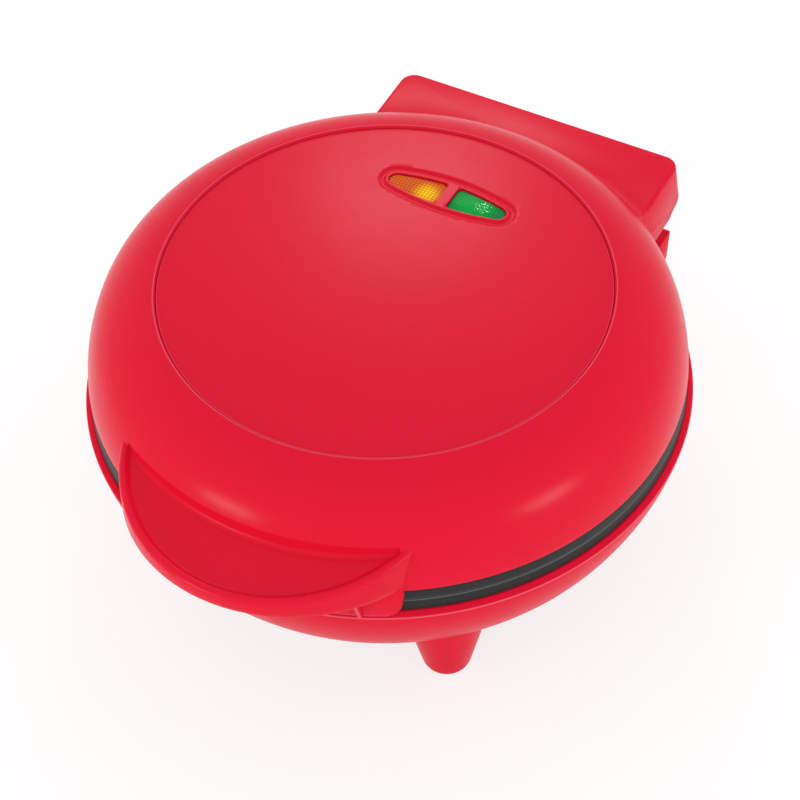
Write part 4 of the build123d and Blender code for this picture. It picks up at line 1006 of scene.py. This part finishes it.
def makeInlet():
    s, g = inletShape, glandShape
    r, end, middle = s["radius"], s["end"], (0, 0, s["z"])
    boss = [(s["bore"], s["root"]), (s["bore"], end), (r - 0.6, end), (r - 0.17, end - 0.17)]
    boss += [(r, end - 0.6), (r, s["root"]), boss[0]]
    ring = spinProfile("inletBoss", boss, middle, "Y", 64)
    dressBase(ring)
    corners = [(g["bore"], g["inside"]), (g["bore"], g["face"], 0.8), (g["flange"], g["face"], 0.6)]
    corners += [(g["flange"], g["back"], 0.2), (g["neck"], g["back"]), (g["neck"], g["inside"], 0.4)]
    bush = spinProfile("cordGland", roundedPath(corners + corners[:1], 5), middle, "Y", 64)
    dress(bush, blackPlastic, "base", ["cord_gland"], 30)


makeBowl()
makeFeet()
makeEars()
makeInlet()

print("cooking plates")
plateShape = {"radius": 95.9, "casting": 86.0, "pocket": 81.0, "gap": 7.0, "corner": 12.0}
plateShape.update({"draft": 14.0, "floorRound": 3.0, "flange": 4.05, "ring": 40})
# sections as (distance inside the pocket's outline, depth under the face)
pocketEdge = [(-1.1, -2), (-1.1, -0.05), (-0.75, 0.08), (-0.35, 0.32), (0.0, 0.8), (0.15, 1.4)]
beadSection = [(-3.2, 0.3), (-3.2, -0.28), (-2.95, -0.48), (-2.2, -0.5), (-1.45, -0.48)]
beadSection += [(-1.2, -0.28), (-1.2, 0.3)]
sealSection = [(-4.05, -0.5), (-4.05, 1.0), (-3.75, 1.0), (-1.35, 1.0), (-1.1, 1.0), (-1.1, -0.5)]


def moonOutline(inset, side):
    # half-moon with rounded corners, drawn inwards by the inset
    s = plateShape
    cx = s["gap"] + s["corner"]
    cy = math.sqrt((s["pocket"] - s["corner"]) ** 2 - cx**2)
    alpha = math.degrees(math.atan2(cy, cx))
    radius, corner = s["pocket"] - inset, s["corner"] - inset
    points = arcPoints((0, 0), radius, -alpha, alpha, 60)[:-1]
    points += arcPoints((cx, cy), corner, alpha, 180, 14)
    points += arcPoints((cx, -cy), corner, 180, 360 - alpha, 14)[:-1]
    return [(side * x, y) for x, y in points]


def moonStack(name, steps, side, ring=False):
    loops = [[at(x, y, z) for x, y in moonOutline(inset, side)] for inset, z in steps]
    return ringStack(name, loops, ring)


def pocketSteps(face, way, depth):
    # the tool's outline from above the face down to the pocket's floor, with both edges rounded
    s = plateShape
    lean = math.tan(math.radians(s["draft"]))
    low = depth - s["floorRound"]
    steps = [(inset, face + way * sunk) for inset, sunk in pocketEdge + [(low * lean, low)]]
    for k in range(1, 6):
        a = math.radians(90 * k / 5)
        inset = low * lean + s["floorRound"] * (1 - math.cos(a)) * 0.9 + 0.2
        steps.append((inset, face + way * (low + s["floorRound"] * math.sin(a))))
    return steps


def makePlate(name, face, way, depth, castingEnd, node, body):
    # way is down for the lower plate, which has the beads, and up for the upper one, with the grooves
    s = plateShape
    lower = way < 0
    thick = face - baseShape["seat"] if lower else s["flange"]
    back = face + way * thick
    corners = [(0, face), (s["ring"], face), (s["radius"], face, 0.7 if lower else 0.5)]
    corners += [(s["radius"], back, 0.5), (s["casting"], back)]
    corners += [(s["casting"], castingEnd, 1.5), (0, castingEnd)]
    plate = spinProfile(name, roundedPath(corners, 5), steps=256)
    for side in (1, -1):
        carve(plate, moonStack("pocketTool", pocketSteps(face, way, depth), side))
    made = [plate]
    section = [(inset, face + way * sunk) for inset, sunk in (beadSection if lower else sealSection)]
    for side in (1, -1):
        ring = moonStack("bead" if lower else "grooveTool", section, side, True)
        if lower:
            made.append(ring)
        else:
            carve(plate, ring)
    dress(joinPieces(made), plateCoating, body, [node], 30)


makePlate("lowerPlate", 70.05, -1, 11.0, 56.05, "lower_cooking_plate", "base")
makePlate("upperPlate", 70.35, 1, 9.0, 82.35, "upper_cooking_plate", "lid")

print("finishes of the inner nodes")
nodeFinishes = [
    (sheathSteel, ["lower_heating_element", "upper_heating_element"]),
    (steelSheet, ["lower_element_clamp", "upper_element_clamp", "thermostat_bracket", "fuse_clip"]),
    (shieldSheet, ["lower_heat_shield", "upper_heat_shield"]),
    (screwSteel, ["lower_plate_screws", "upper_plate_screws", "lower_clamp_screws"]),
    (screwSteel, ["upper_clamp_screws", "thermal_fuse"]),
    (ceramicBody, ["thermostat", "terminal_block"]),
    (pinSteel, ["hinge_pins"]),
    (blackPlastic, ["lamp_carrier"]),
    (lampGlass, ["power_lamp", "ready_lamp"]),
    (leadSleeve, ["base_wiring", "lid_wiring"]),
]
for finish, nodes in nodeFinishes:
    for node in nodes:
        slots = cadNodes[node].material_slots
        for slot in slots:
            slot.material = finish
        if not slots:
            cadNodes[node].data.materials.append(finish)

print("floor and light")
deselectAll()
bpy.ops.mesh.primitive_plane_add(size=8, location=(0, 0, 0))
floor = bpy.context.active_object
floor.name = "floor"


def seenDirectly(tree):
    # by the camera, in a reflection or through glass
    path = addNode(tree, "ShaderNodeLightPath").outputs
    seen = mathNode(tree, "MAXIMUM", path["Is Camera Ray"], path["Is Glossy Ray"])
    return mathNode(tree, "MAXIMUM", seen, path["Is Transmission Ray"])


def makeFloorMaterial():
    material = bpy.data.materials.new("paleFloor")
    material.use_nodes = True
    tree = material.node_tree
    shader = tree.nodes["Principled BSDF"]
    shader.inputs["Base Color"].default_value = (0.80, 0.80, 0.80, 1)
    shader.inputs["Roughness"].default_value = 0.9
    shader.inputs["Specular IOR Level"].default_value = 0.1
    seen = seenDirectly(tree)
    lift = addNode(tree, "ShaderNodeEmission", {"Strength": 1.12})
    both = addNode(tree, "ShaderNodeMixShader", {0: mathNode(tree, "MULTIPLY", seen, 0.7)})
    tree.links.new(shader.outputs[0], both.inputs[1])
    tree.links.new(lift.outputs[0], both.inputs[2])
    tree.links.new(both.outputs[0], tree.nodes["Material Output"].inputs["Surface"])
    return material


floor.data.materials.append(makeFloorMaterial())
studio = bpy.data.worlds.new("studio")
bpy.context.scene.world = studio
studio.use_nodes = True
skyTree = studio.node_tree
skyStrength = mapRange(skyTree, seenDirectly(skyTree), 0, 1, 0.84, 1.0)
sky = skyTree.nodes["Background"]
sky.inputs["Color"].default_value = (1, 1, 1, 1)
skyTree.links.new(skyStrength, sky.inputs["Strength"])

softBoxes = {
    "overTheBack": {"from": (-222, 438, 479), "to": (0, 20, 109), "size": (125, 115), "power": 0.44},
    "frontLeft": {"from": (-317, -714, 116), "to": (-30, -95, 85), "size": (220, 105), "power": 1.2},
    "right": {"from": (769, -144, 115), "to": (60, -20, 80), "size": (220, 105), "power": 1.15},
}
for name, box in softBoxes.items():
    bpy.ops.object.light_add(type="AREA", location=at(*box["from"]))
    lamp = bpy.context.active_object
    lamp.name = name
    lamp.data.shape = "RECTANGLE"
    lamp.data.size, lamp.data.size_y = box["size"][0] * mm, box["size"][1] * mm
    lamp.data.energy = box["power"]
    lamp.rotation_mode = "QUATERNION"
    lamp.rotation_quaternion = (at(*box["to"]) - at(*box["from"])).to_track_quat("-Z", "Y")
bpy.context.scene.view_settings.view_transform = "Standard"
